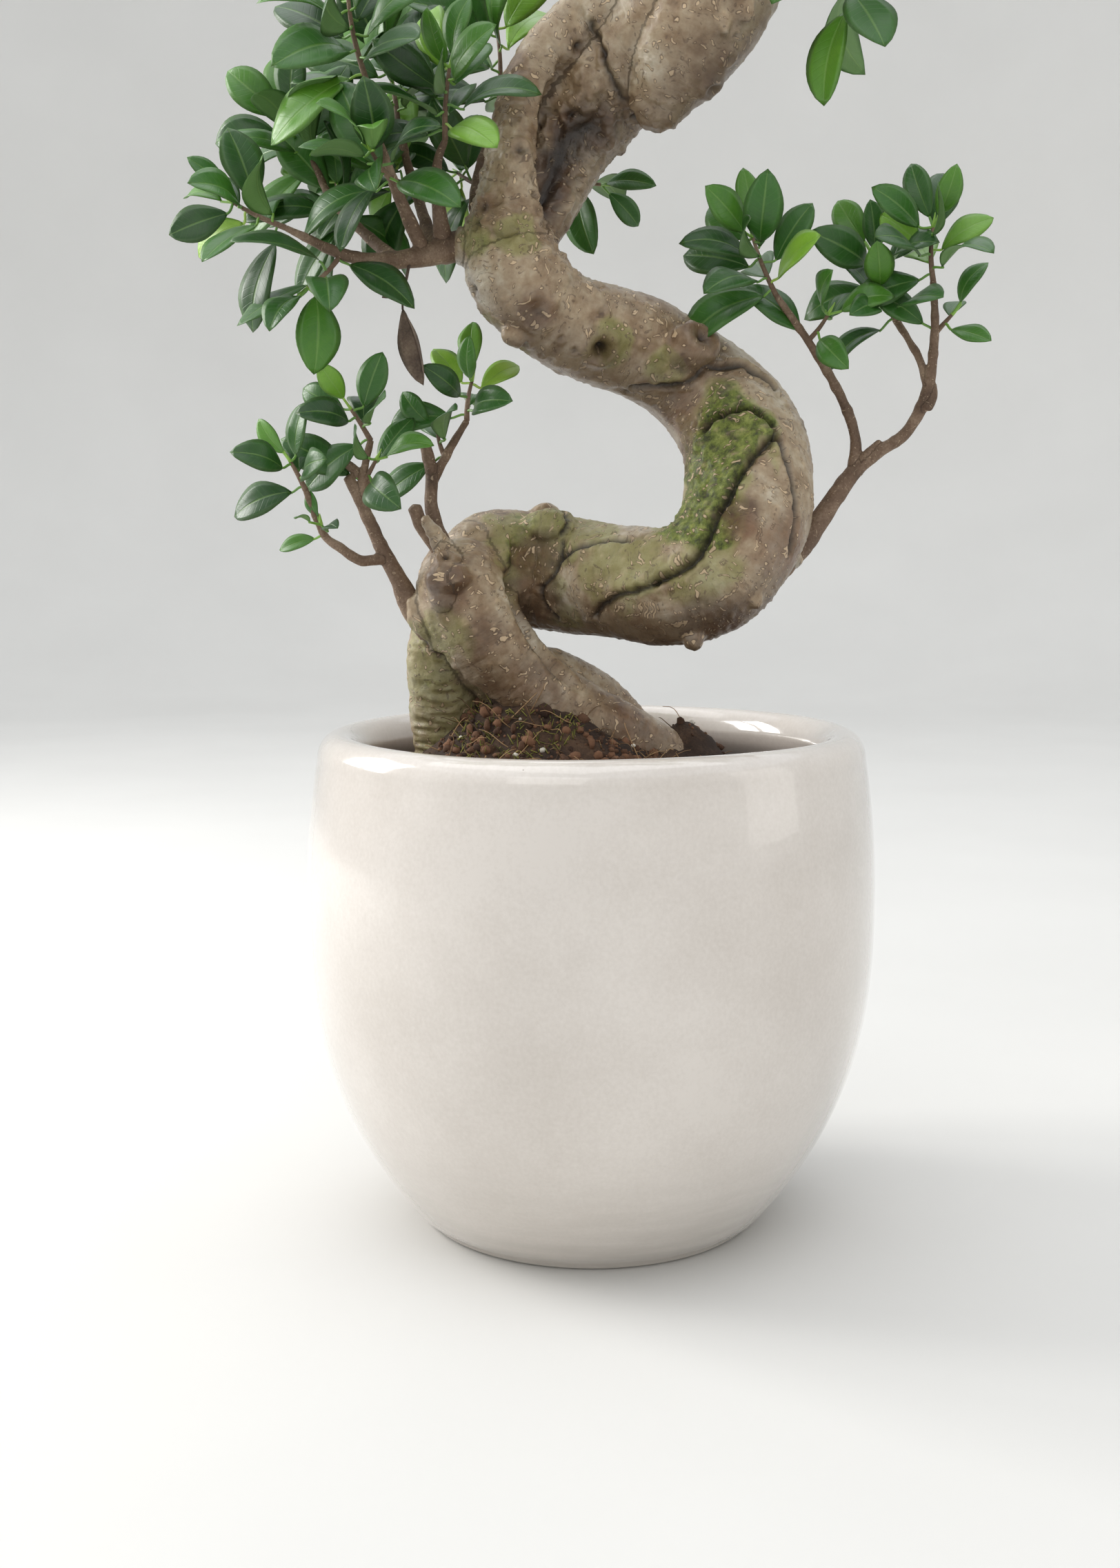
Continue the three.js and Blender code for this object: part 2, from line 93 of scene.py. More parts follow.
TRUNK_ROUTES = {
    "front_leg": [
        (92, 10, -60, 7), (74, 9, -38, 13), (48, 7, -14, 18), (25, 4, 0, 19.5), (-6, 0, 16, 20.5),
        (-36, -5, 38, 22), (-57, -11, 64, 24.5), (-66, -9, 86, 26), (-66, 0, 103, 20),
    ],
    "serpent": [
        (-70, 4, 88, 18), (-56, 12, 97, 28), (-32, 24, 95, 31), (-6, 17, 91, 31), (16, 2, 89, 29.5),
        (40, -12, 87, 30), (63, -17, 95, 31.5), (77, -12, 116, 32.5), (82, 0, 139, 33.5),
        (79, 12, 162, 32.5), (64, 19, 183, 29.5), (46, 18, 198, 27), (24, 10, 210, 26),
        (4, 3, 216, 25), (-18, -6, 225, 24), (-33, -13, 237, 24.5), (-41, -13, 251, 24),
        (-37, -4, 267, 21.5), (-27, 8, 284, 19.5), (-19, 14, 303, 23), (-10, 14, 322, 27),
        (4, 8, 338, 28), (22, 0, 354, 29), (44, -12, 370, 30), (62, -20, 386, 30),
        (74, -16, 406, 29), (74, 0, 434, 26), (58, 12, 458, 23), (36, 14, 478, 20),
        (16, 8, 498, 17), (4, 0, 522, 14), (2, -4, 548, 11), (6, -4, 572, 7),
    ],
    "left_leg": [
        (-70, 36, -70, 8), (-76, 26, -42, 13), (-75, 19, -14, 17.5), (-76, 14, 20, 19.5),
        (-76, 5, 54, 21), (-71, -4, 78, 20),
    ],
    "back_root": [
        (60, 50, -54, 7), (44, 38, -28, 9), (24, 26, 8, 11.5), (8, 20, 24, 13), (-18, 8, 39, 15),
        (-34, 0, 46, 12),
    ],
    "cut_stub": [(-70, -16, 100, 8), (-79, -24, 114, 5), (-85, -28, 123, 4)],
    "callus": [(-72, -27, 76, 7.5), (-74, -31, 89, 9), (-73, -28, 103, 8)],
    "left_band": [
        (-42, -12, 254, 24), (-42, -12, 268, 21.5), (-41, -15, 284, 16.5), (-39.5, -17, 301, 13),
        (-37, -14, 319, 11.5), (-31, -10, 337, 13), (-18, -8, 353, 15), (0, -8, 367, 17),
        (22, -8, 380, 18),
    ],
    "belly": [
        (34, -18, 314, 7), (35, -18, 325, 15), (42, -19, 344, 24), (54, -21, 366, 29),
        (66, -22, 388, 29), (73, -16, 406, 27),
    ],
    "branch_foot": [(-76, -8, 62, 12), (-86, -12, 72, 9), (-90, -13, 82, 7)],
    "left_collar": [(-44, -10, 248, 18), (-56, -12, 256, 12), (-68, -14, 257, 8)],
    "right_collar": [(84, -2, 108, 16), (94, -2, 100, 10), (106, -1, 106, 7)],
}

# Each branch is a list of limbs, and the first is the main one.
BRANCH_ROUTES = {
    "low_left_branch": [
        [(-80, -8, 60, 7), (-91, -10, 74, 6.4), (-99, -14, 91, 4.6), (-106, -18, 105, 3.9),
         (-113, -20, 121, 3.2), (-123, -24, 143, 2.8)],
        [(-117, -22, 134, 2.4), (-114, -24, 150, 2.1), (-111, -26, 161, 1.7)],
        [(-105, -18, 102, 3.2), (-117, -24, 101, 2.8), (-126, -28, 107, 2.4), (-134, -30, 113, 2),
         (-143, -34, 136, 1.6)],
    ],
    "low_middle_branch": [
        [(-72, -10, 102, 6), (-78, -13, 113, 4.6), (-82, -12, 128, 3.4), (-82, -9, 146, 3.2),
         (-84, -8, 154, 2.8)],
        [(-82, -9, 140, 2.8), (-72, -6, 159, 2.3), (-64, -4, 172, 1.9)],
    ],
    "right_branch": [
        [(90, -4, 92, 8), (106, 0, 106, 7), (120, 4, 123, 5.4), (137, 6, 147, 4.2), (148, 4, 156, 3.6),
         (162, 0, 166, 3.2), (171, -6, 186, 3), (173, -12, 216, 2.3), (171, -15, 240, 1.8)],
        [(136, 6, 144, 3.4), (137, 6, 162, 2.9), (131, 4, 180, 2.6), (113, 0, 209, 2.2),
         (94, -4, 234, 1.8)],
        [(171, -7, 190, 2.4), (167, -4, 203, 2.1), (155, 4, 225, 1.8), (150, 8, 238, 1.6)],
    ],
    "left_branch": [
        [(-50, -10, 255, 11), (-65, -11, 258, 8.4), (-74, -14, 256, 7), (-89, -20, 251, 5.2),
         (-105, -26, 249, 3.8), (-122, -30, 251, 3.1), (-150, -37, 263, 1.8)],
        [(-98, -24, 250, 3.6), (-112, -14, 262, 2.9), (-133, 0, 284, 2.4), (-140, 5, 298, 1.8)],
        [(-74, -14, 257, 5), (-76, -22, 276, 3.4), (-76, -26, 296, 2.4), (-72, -28, 306, 1.8)],
        [(-80, -16, 256, 4.4), (-84, -4, 270, 3.2), (-91, 12, 290, 2.7), (-100, 22, 322, 1.8)],
        [(-84, -18, 254, 4), (-96, -34, 282, 2.8), (-106, -36, 312, 2.2), (-110, -34, 334, 1.8)],
    ],
    "back_left_branch": [
        [(-44, 0, 262, 6), (-60, 24, 280, 3.6), (-60, 40, 302, 2.8), (-50, 56, 340, 1.8)],
        [(-60, 38, 299, 2.4), (-38, 50, 306, 2), (-14, 56, 304, 1.6)],
    ],
    "upper_right_branch": [
        [(60, -20, 382, 8), (98, -26, 412, 4.2), (122, -24, 432, 3.4), (146, -20, 462, 1.8)],
        [(104, -26, 416, 3), (114, -28, 410, 2.4), (120, -28, 396, 1.6)],
    ],
    "crown_left_branch": [
        [(22, 8, 496, 7), (-4, 4, 510, 4.2), (-34, -3, 524, 3.2), (-60, -9, 546, 1.8)],
    ],
    "crown_right_branch": [
        [(8, 2, 518, 6), (28, -8, 532, 3.8), (50, -12, 546, 2.8), (66, -16, 562, 1.8)],
    ],
    "crown_front_branch": [[(3, -2, 536, 5), (0, -24, 549, 3.2), (-5, -46, 564, 1.8)]],
    "crown_back_branch": [[(4, -2, 548, 5), (8, 20, 556, 3.2), (12, 48, 574, 1.8)]],
    "crown_top_branch": [[(6, -4, 566, 5), (4, -4, 584, 3.6), (2, -2, 600, 1.8)]],
    "upper_back_branch": [[(72, 4, 438, 7), (74, 34, 454, 3.4), (72, 60, 476, 1.8)]],
    "upper_front_branch": [[(38, 12, 476, 7), (34, -16, 488, 3.4), (28, -44, 508, 1.8)]],
}

# Each spray is a leafy twig: [branch, limb of it, share of the way along, direction, leaves, size].
SPRAYS = {
    "low_left_top": ("low_left_branch", 1, 1, (-0.5, -0.1, 0.9), 7, 0.8),
    "low_left_inner": ("low_left_branch", 1, 0.15, (0.5, -0.4, 0.7), 5, 0.85),
    "low_left_outer": ("low_left_branch", 2, 1, (-0.4, -0.1, 0.9), 6, 0.75),
    "low_left_young": ("low_left_branch", 2, 0.75, (-0.3, -0.6, 0.6), 4, 0.45),
    "low_middle_top": ("low_middle_branch", 1, 1, (0, 0, 1), 8, 0.85),
    "low_middle_side": ("low_middle_branch", 1, 0.35, (-0.4, 0.2, 0.8), 4, 0.75),
    "right_inner": ("right_branch", 1, 1, (-0.5, -0.1, 0.9), 13, 1),
    "right_low": ("right_branch", 1, 0.78, (0.6, -0.4, 0.6), 5, 0.85),
    "right_middle": ("right_branch", 2, 1, (-0.2, 0.3, 1), 9, 0.9),
    "right_side": ("right_branch", 2, 0.62, (-0.5, -0.5, 0.5), 5, 0.85),
    "right_outer": ("right_branch", 0, 1, (-0.2, -0.1, 1), 11, 0.9),
    "right_edge": ("right_branch", 0, 0.87, (0.6, 0, 0.7), 4, 0.7),
    "left_outer": ("left_branch", 0, 1, (-0.8, 0, 0.3), 11, 1),
    "left_drooping": ("left_branch", 0, 0.84, (-0.4, -0.4, -0.7), 7, 1.1),
    "left_far": ("left_branch", 1, 1, (-0.5, 0.3, 0.8), 14, 1.1),
    "left_rear": ("left_branch", 1, 0.5, (-0.4, 0.8, 0.5), 13, 1.1),
    "left_inner": ("left_branch", 2, 1, (0, -0.3, 0.9), 13, 1.05),
    "left_top": ("left_branch", 3, 1, (-0.1, 0.3, 0.9), 15, 1.2),
    "left_heart": ("left_branch", 3, 0.67, (-0.6, 0.5, 0.3), 14, 1.1),
    "left_tall": ("left_branch", 4, 1, (-0.3, -0.2, 0.9), 15, 1.2),
    "left_front": ("left_branch", 4, 0.35, (-0.3, -0.9, 0.3), 11, 1.05),
    "back_left_top": ("back_left_branch", 0, 1, (0.1, 0.1, 1), 12, 1.5),
    "back_left_low": ("back_left_branch", 0, 0.6, (-0.5, 0.8, 0.3), 9, 0.95),
    "back_inner": ("back_left_branch", 1, 1, (0.7, 0.2, -0.2), 5, 1),
    "upper_right": ("upper_right_branch", 0, 1, (0.6, 0, 0.7), 12, 1),
    "upper_right_inner": ("upper_right_branch", 0, 0.67, (0, -0.5, 0.8), 9, 1),
    "upper_right_low": ("upper_right_branch", 1, 1, (0.1, -0.1, -1), 5, 1.35),
    "upper_back": ("upper_back_branch", 0, 1, (0.1, 0.6, 0.8), 12, 1),
    "upper_front": ("upper_front_branch", 0, 1, (-0.2, -0.6, 0.8), 12, 1),
    "crown_left": ("crown_left_branch", 0, 1, (-0.6, 0, 0.7), 13, 1),
    "crown_left_inner": ("crown_left_branch", 0, 0.62, (-0.1, -0.6, 0.7), 10, 1),
    "crown_right": ("crown_right_branch", 0, 1, (0.6, -0.1, 0.7), 13, 1),
    "crown_right_inner": ("crown_right_branch", 0, 0.6, (0.1, 0.6, 0.7), 10, 1),
    "crown_front": ("crown_front_branch", 0, 1, (-0.1, -0.6, 0.7), 13, 1),
    "crown_back": ("crown_back_branch", 0, 1, (0.1, 0.6, 0.7), 13, 1),
    "crown_top": ("crown_top_branch", 0, 1, (0, 0, 1), 12, 1),
}
LEAF_LENGTH = 40 * MM
LIGHT_SIDE = np.array((-0.3, -0.85, 0.7))  # the leaves turn their upper sides this way

# ---------------------------------------------------------------- shaping tools


def smooth_line(stations, step=None):
    """Points on a smooth line through the stations, in metres: step apart, or SPAN_STEPS to a span."""
    knots = np.array(stations, float)
    knots[:, 2] += SOIL_LEVEL / MM
    knots *= MM
    ends = [2 * knots[0] - knots[1], *knots, 2 * knots[-1] - knots[-2]]
    dense = []
    for p0, p1, p2, p3 in zip(ends, ends[1:], ends[2:], ends[3:]):
        before, here, after = (
            max(np.linalg.norm((b - a)[:3]) ** 0.5, 1e-4) for a, b in ((p0, p1), (p1, p2), (p2, p3))
        )
        leave = ((p1 - p0) / before - (p2 - p0) / (before + here)) * here + (p2 - p1)
        arrive = ((p3 - p2) / after - (p3 - p1) / (here + after)) * here + (p2 - p1)
        for s in np.linspace(0, 1, SPAN_STEPS, endpoint=False):
            dense.append(
                p1 * (2 * s**3 - 3 * s**2 + 1) + leave * (s**3 - 2 * s**2 + s)
                + p2 * (3 * s**2 - 2 * s**3) + arrive * (s**3 - s**2)
            )
    dense = np.array([*dense, knots[-1]])
    if step is None:
        return dense
    run = np.concatenate([[0], np.cumsum(np.linalg.norm(np.diff(dense[:, :3], axis=0), axis=1))])
    places = np.linspace(0, run[-1], max(3, round(run[-1] / step) + 1))
    return np.stack([np.interp(places, run, column) for column in dense.T], axis=1)


def unit(vectors):
    return vectors / np.maximum(np.linalg.norm(vectors, axis=-1, keepdims=True), 1e-9)


def frames_along(centres):
    """The direction of a line at each point, and two directions square to it that don't spin."""
    ahead = unit(np.gradient(centres, axis=0))
    start = np.array([0.0, 0.0, 1.0]) if abs(ahead[0][2]) < 0.9 else np.array([1.0, 0.0, 0.0])
    across = [unit(np.cross(start, ahead[0]))]
    for direction in ahead[1:]:
        across.append(unit(across[-1] - direction * (across[-1] @ direction)))
    across = np.array(across)
    return ahead, across, np.cross(ahead, across)


END_BULGE = 0.5  # how far a tube's end stands out, in radii


def tube(line, sides):
    """Corners and faces of a closed tube along a line of [x, y, z, radius]."""
    centres, radii = line[:, :3], line[:, 3]
    ahead, across, over = frames_along(centres)
    turn = np.linspace(0, 2 * np.pi, sides, endpoint=False)[None, :, None]
    rings = across[:, None] * np.cos(turn) + over[:, None] * np.sin(turn)
    rings = centres[:, None] + rings * radii[:, None, None]
    count = len(line)
    start = centres[0] - ahead[0] * radii[0] * END_BULGE
    end = centres[-1] + ahead[-1] * radii[-1] * END_BULGE
    points = np.concatenate([rings.reshape(-1, 3), [start, end]])
    faces = []
    for ring in range(count - 1):
        for side in range(sides):
            a, b = ring * sides + side, ring * sides + (side + 1) % sides
            faces.append((a, b, b + sides, a + sides))
    last, tail = count * sides, (count - 1) * sides
    for side in range(sides):
        after = (side + 1) % sides
        faces.append((after, side, last))
        faces.append((tail + side, tail + after, last + 1))
    return points, faces


def turned(profile, sides):
    """Corners and faces of a profile of [radius, height] turned round the vertical axis.

    The profile starts on the axis, and its faces look to the left of the way it runs.
    """
    closed = profile[-1][0] == 0
    rings = profile[1:-1] if closed else profile[1:]
    points, faces = [(0, 0, profile[0][1])], []
    for radius, height in rings:
        for turn in np.linspace(0, 2 * math.pi, sides, endpoint=False):
            points.append((radius * math.cos(turn), radius * math.sin(turn), height))
    low = len(points) - sides
    if closed:
        points.append((0, 0, profile[-1][1]))
    for side in range(sides):
        after = (side + 1) % sides
        faces.append((0, 1 + side, 1 + after))
        for ring in range(len(rings) - 1):
            a, b = 1 + ring * sides + side, 1 + ring * sides + after
            faces.append((a, a + sides, b + sides, b))
        if closed:
            faces.append((low + side, len(points) - 1, low + after))
    return np.array(points, float), faces


def ball(centre, radii, rings=8, sides=12):
    """A lump round a centre, with its own radius along each axis."""
    tilts = [math.pi * ring / rings for ring in range(1, rings)]
    points, faces = turned([(0, 1), *((math.sin(tilt), math.cos(tilt)) for tilt in tilts), (0, -1)], sides)
    return points * radii + np.array(centre), faces


class Sheaf:
    """Gathers corners, faces and marks that become one piece."""

    def __init__(self):
        self.points, self.faces, self.finishes, self.marks, self.count = [], [], [], {}, 0

    def add(self, points, faces, finish=0, **marks):
        for name, values in marks.items():
            self.marks.setdefault(name, []).append((self.count, len(points), values))
        self.points.append(points)
        self.faces += [tuple(corner + self.count for corner in face) for face in faces]
        self.finishes += [finish] * len(faces)
        self.count += len(points)

    def piece(self, name, *finishes):
        mesh = bpy.data.meshes.new(name)
        mesh.from_pydata(np.concatenate(self.points).tolist(), [], self.faces)
        mesh.polygons.foreach_set("material_index", self.finishes)
        for mark, runs in self.marks.items():
            values = np.zeros(self.count)
            for start, length, value in runs:
                values[start:start + length] = value
            write_mark(mesh, mark, values)
        piece = bpy.data.objects.new(name, mesh)
        bpy.context.scene.collection.objects.link(piece)
        for finish in finishes:
            mesh.materials.append(finish)
        mesh.polygons.foreach_set("use_smooth", [True] * len(mesh.polygons))
        return piece


def write_mark(mesh, name, values):
    kind, field = ("FLOAT", "value") if values.ndim == 1 else ("FLOAT_VECTOR", "vector")
    mark = mesh.attributes.new(name, kind, "POINT")
    mark.data.foreach_set(field, np.ascontiguousarray(values, np.float32).ravel())


def corners(mesh, field="co"):
    values = np.zeros(len(mesh.vertices) * 3, np.float32)
    mesh.vertices.foreach_get(field, values)
    return values.reshape(-1, 3).astype(float)


def move_corners(mesh, points):
    mesh.vertices.foreach_set("co", points.astype(np.float32).ravel())
    mesh.update()


def settle(piece):
    """Applies the piece's modifiers to its mesh."""
    bpy.context.view_layer.update()
    settled = piece.evaluated_get(bpy.context.evaluated_depsgraph_get())
    mesh = bpy.data.meshes.new_from_object(settled)
    piece.modifiers.clear()
    piece.data = mesh
    mesh.polygons.foreach_set("use_smooth", [True] * len(mesh.polygons))


def grown_together(piece, grain, rounds):
    """Fuses the piece's overlapping shells into one skin with an even mesh, smoothed this many rounds."""
    fuse = piece.modifiers.new("fuse", "REMESH")
    fuse.mode = "VOXEL"
    fuse.voxel_size = grain
    soften = piece.modifiers.new("soften", "SMOOTH")
    soften.factor = 0.5
    soften.iterations = rounds
    settle(piece)


def lumps(points, size, seed):
    """Smooth random values from -1 to 1 through space, with swells about size across."""
    cell = points / size + seed * 7.31
    base = np.floor(cell).astype(np.int64)
    part = cell - base
    part = part * part * (3 - 2 * part)
    total = np.zeros(len(points))
    for corner in itertools.product((0, 1), repeat=3):
        spot = base + corner
        key = np.bitwise_xor.reduce(spot * HASH_FACTORS[:3], axis=1) ^ seed * HASH_FACTORS[3]
        key = (key ^ (key >> 13)) * 1274126177 & 0xFFFFFFFF
        key = (key ^ (key >> 16)) * 2246822519 & 0xFFFFFFFF
        weight = np.prod(np.where(corner, part, 1 - part), axis=1)
        total += (key / 2**31 - 1) * weight
    return total


def beside_line(points, outward, line, reach):
    """How far each point lies from a line, and how far to its right as seen from outside."""
    nearest, right = np.full(len(points), 1.0), np.zeros(len(points))
    inside = (points > line.min(axis=0) - reach) & (points < line.max(axis=0) + reach)
    close = np.nonzero(inside.all(axis=1))[0]
    for a, b in zip(line[:-1], line[1:]):
        span = b - a
        share = np.clip((points[close] - a) @ span / max(span @ span, 1e-12), 0, 1)
        gap = points[close] - a - share[:, None] * span
        away = np.linalg.norm(gap, axis=1)
        nearer = away < nearest[close]
        rows = close[nearer]
        nearest[rows] = away[nearer]
        side = np.cross(unit(span), outward[rows])
        right[rows] = np.sum(gap[nearer] * side, axis=1)
    return nearest, right


def smoothstep(low, high, value):
    share = np.clip((value - low) / (high - low), 0, 1)
    return share * share * (3 - 2 * share)


def straightened(points, lines):
    """Each point's place on its own limb, as if every limb stood straight: two across, one along."""
    centres, radii, bases, run = [], [], [], 0
    for line in lines:
        ahead, across, over = frames_along(line[:, :3])
        steps = np.concatenate([[0], np.cumsum(np.linalg.norm(np.diff(line[:, :3], axis=0), axis=1))])
        for i, centre in enumerate(line[:, :3]):
            centres.append(centre)
            radii.append(line[i, 3])
            bases.append((across[i], over[i], ahead[i], run + steps[i]))
        run += steps[-1] + LIMB_GAP
    centres, radii = np.array(centres), np.array(radii)
    basis = np.array([[a, b, c] for a, b, c, _ in bases])
    along = np.array([d for *_, d in bases])
    places = np.zeros_like(points)
    for start in range(0, len(points), BATCH):
        part = points[start:start + BATCH]
        apart = np.linalg.norm(part[:, None] - centres[None], axis=2) / radii[None]
        nearest = apart.argmin(axis=1)
        local = np.einsum("nij,nj->ni", basis[nearest], part - centres[nearest])
        local[:, 2] += along[nearest]
        places[start:start + BATCH] = local
    return places


# ---------------------------------------------------------------- finishes


def shade(red, green, blue):
    """A colour given as it looks, from 0 to 255, turned into light values."""
    def light(value):
        value /= 255
        return value / 12.92 if value <= 0.04045 else ((value + 0.055) / 1.055) ** 2.4
    return (light(red), light(green), light(blue), 1)


class Recipe:
    """Puts nodes into a material or a shader group, and joins them up."""

    def __init__(self, tree):
        self.tree = tree

    def feed(self, socket, value):
        """Links a node's output to the socket, or sets a plain value on it."""
        if isinstance(value, bpy.types.NodeSocket):
            self.tree.links.new(value, socket)
        else:
            socket.default_value = value

    def add(self, kind, sockets=None, **settings):
        node = self.tree.nodes.new("ShaderNode" + kind)
        for name, value in settings.items():
            setattr(node, name, value)
        for name, value in (sockets or {}).items():
            self.feed(node.inputs[name], value)
        return node

    def maths(self, operation, first, second=0.0, clamp=False):
        return self.add("Math", {0: first, 1: second}, operation=operation, use_clamp=clamp).outputs[0]

    def plus(self, first, second):
        return self.maths("ADD", first, second)

    def times(self, first, second):
        return self.maths("MULTIPLY", first, second)

    def between(self, value, low, high, to_low=0.0, to_high=1.0):
        sockets = {0: value, 1: low, 2: high, 3: to_low, 4: to_high}
        return self.add("MapRange", sockets, interpolation_type="SMOOTHSTEP").outputs[0]

    def blend(self, share, first, second):
        mix = self.add("Mix", data_type="RGBA")
        for socket, value in zip((mix.inputs[0], mix.inputs[6], mix.inputs[7]), (share, first, second)):
            self.feed(socket, value)
        return mix.outputs[2]

    def mark(self, name, output="Fac"):
        """A value, or a vector, that the mesh carries."""
        return self.add("Attribute", attribute_name=name).outputs[output]

    def place(self):
        """The place on the piece, in metres."""
        return self.add("TexCoord").outputs["Object"]

    def ramp(self, value, *stops):
        node = self.add("ValToRGB", {"Fac": value})
        band = node.color_ramp
        while len(band.elements) < len(stops):
            band.elements.new(0.5)
        for element, (place, colour) in zip(band.elements, stops):
            element.position = place
            element.color = colour
        return node.outputs["Color"]

    def stretched(self, place, scale):
        return self.add("Mapping", {"Vector": place, "Scale": scale}).outputs[0]

    def noise(self, place, scale, detail=4.0, roughness=0.55):
        sockets = {"Vector": place, "Scale": scale, "Detail": detail, "Roughness": roughness}
        return self.add("TexNoise", sockets).outputs["Fac"]


def shader_group(name, inputs, outputs):
    """An empty group with named sockets, its recipe, and its inputs and output node."""
    tree = bpy.data.node_groups.new(name, "ShaderNodeTree")
    for label, kind, value in inputs:
        socket = tree.interface.new_socket(label, in_out="INPUT", socket_type="NodeSocket" + kind)
        if value is not None:
            socket.default_value = value
    for label, kind in outputs:
        tree.interface.new_socket(label, in_out="OUTPUT", socket_type="NodeSocket" + kind)
    given = tree.nodes.new("NodeGroupInput")
    result = tree.nodes.new("NodeGroupOutput")
    return tree, Recipe(tree), given.outputs, result.inputs


def place_group(recipe, group, sockets):
    node = recipe.tree.nodes.new("ShaderNodeGroup")
    node.node_tree = group
    for name, value in sockets.items():
        recipe.feed(node.inputs[name], value)
    return node.outputs


def mottle_group():
    """Soft blotches of two sizes with a fine speckle over them, as a value round a half."""
    tree, recipe, given, result = shader_group(
        "mottle",
        [("Place", "Vector", None), ("Blotches", "Float", 20.0), ("Speckle", "Float", 300.0)],
        [("Value", "Float"), ("Fine", "Float")],
    )
    broad = recipe.noise(given["Place"], given["Blotches"], 5.0, 0.6)
    fine = recipe.noise(given["Place"], given["Speckle"], 3.0, 0.6)
    value = recipe.plus(recipe.times(broad, 0.7), recipe.times(fine, 0.3))
    recipe.feed(result["Value"], value)
    recipe.feed(result["Fine"], fine)
    return tree


def bark_group():
    """Ficus bark: corky dashes across the stem, fine rings round it and a grain along it."""
    tree, recipe, given, result = shader_group(
        "bark grain",
        [("Place", "Vector", None), ("Dashes", "Float", 170.0), ("Share", "Float", 0.45),
         ("Rings", "Float", 0.5)],
        [("Dash", "Float"), ("Rim", "Float"), ("Height", "Float")],
    )
    wobble = recipe.add("TexNoise", {"Vector": given["Place"], "Scale": 90.0, "Detail": 2.0})
    shaken = recipe.add("MixRGB", {0: 0.02, 1: given["Place"], 2: wobble.outputs["Color"]})
    flattened = recipe.stretched(shaken.outputs[0], (1.0, 1.0, 2.1))
    cells = recipe.add("TexVoronoi", {"Vector": flattened, "Scale": given["Dashes"]})
    chosen = recipe.maths("LESS_THAN", cells.outputs["Color"], given["Share"])
    near = recipe.between(cells.outputs["Distance"], 0.24, 0.33, 1.0, 0.0)
    dash = recipe.times(near, chosen)
    round_it = recipe.between(cells.outputs["Distance"], 0.34, 0.5, 1.0, 0.0)
    rim = recipe.maths("SUBTRACT", recipe.times(round_it, chosen), dash)
    rings = recipe.noise(recipe.stretched(given["Place"], (1.0, 1.0, 7.0)), 60.0, 5.0, 0.65)
    grain = recipe.noise(recipe.stretched(given["Place"], (1.0, 1.0, 0.5)), 330.0, 4.0, 0.6)
    coarse = recipe.noise(given["Place"], 120.0, 5.0, 0.6)
    height = recipe.times(rings, given["Rings"])
    height = recipe.plus(height, recipe.times(grain, 0.25))
    height = recipe.plus(height, recipe.times(coarse, 0.5))
    height = recipe.plus(height, recipe.times(dash, 0.45))
    recipe.feed(result["Dash"], dash)
    recipe.feed(result["Rim"], rim)
    recipe.feed(result["Height"], height)
    return tree


FULL_TURN = 6.283  # in radians


def vein_group():
    """A leaf's midrib and side veins, from its own across and along marks."""
    tree, recipe, given, result = shader_group(
        "leaf veins",
        [("Across", "Float", 0.0), ("Along", "Float", 0.0), ("Veins", "Float", 11.0)],
        [("Midrib", "Float"), ("Vein", "Float"), ("Height", "Float")],
    )
    away = recipe.maths("ABSOLUTE", given["Across"])
    midrib = recipe.between(away, 0.01, 0.09, 1.0, 0.0)
    swept = recipe.maths("SUBTRACT", given["Along"], recipe.times(away, 0.16))
    turns = recipe.times(recipe.times(swept, given["Veins"]), FULL_TURN)
    wave = recipe.maths("SINE", turns)
    vein = recipe.between(wave, 0.86, 1.0)
    vein = recipe.times(vein, recipe.between(away, 0.8, 1.0, 1.0, 0.0))
    height = recipe.plus(recipe.times(midrib, -0.8), recipe.times(vein, -0.2))
    recipe.feed(result["Midrib"], midrib)
    recipe.feed(result["Vein"], vein)
    recipe.feed(result["Height"], height)
    return tree


mottle = mottle_group()
bark_grain = bark_group()
leaf_veins = vein_group()


def new_finish(name, **plain):
    """An empty material with its Principled shader, whose plain values are set directly."""
    finish = bpy.data.materials.new(name)
    finish.use_nodes = True
    recipe = Recipe(finish.node_tree)
    surface = finish.node_tree.nodes["Principled BSDF"]
    for label, value in plain.items():
        surface.inputs[label.replace("_", " ").title()].default_value = value
    return finish, recipe, surface.inputs


def raise_bump(recipe, surface, height, strength, distance):
    sockets = {"Height": height, "Strength": strength, "Distance": distance}
    recipe.feed(surface["Normal"], recipe.add("Bump", sockets).outputs[0])


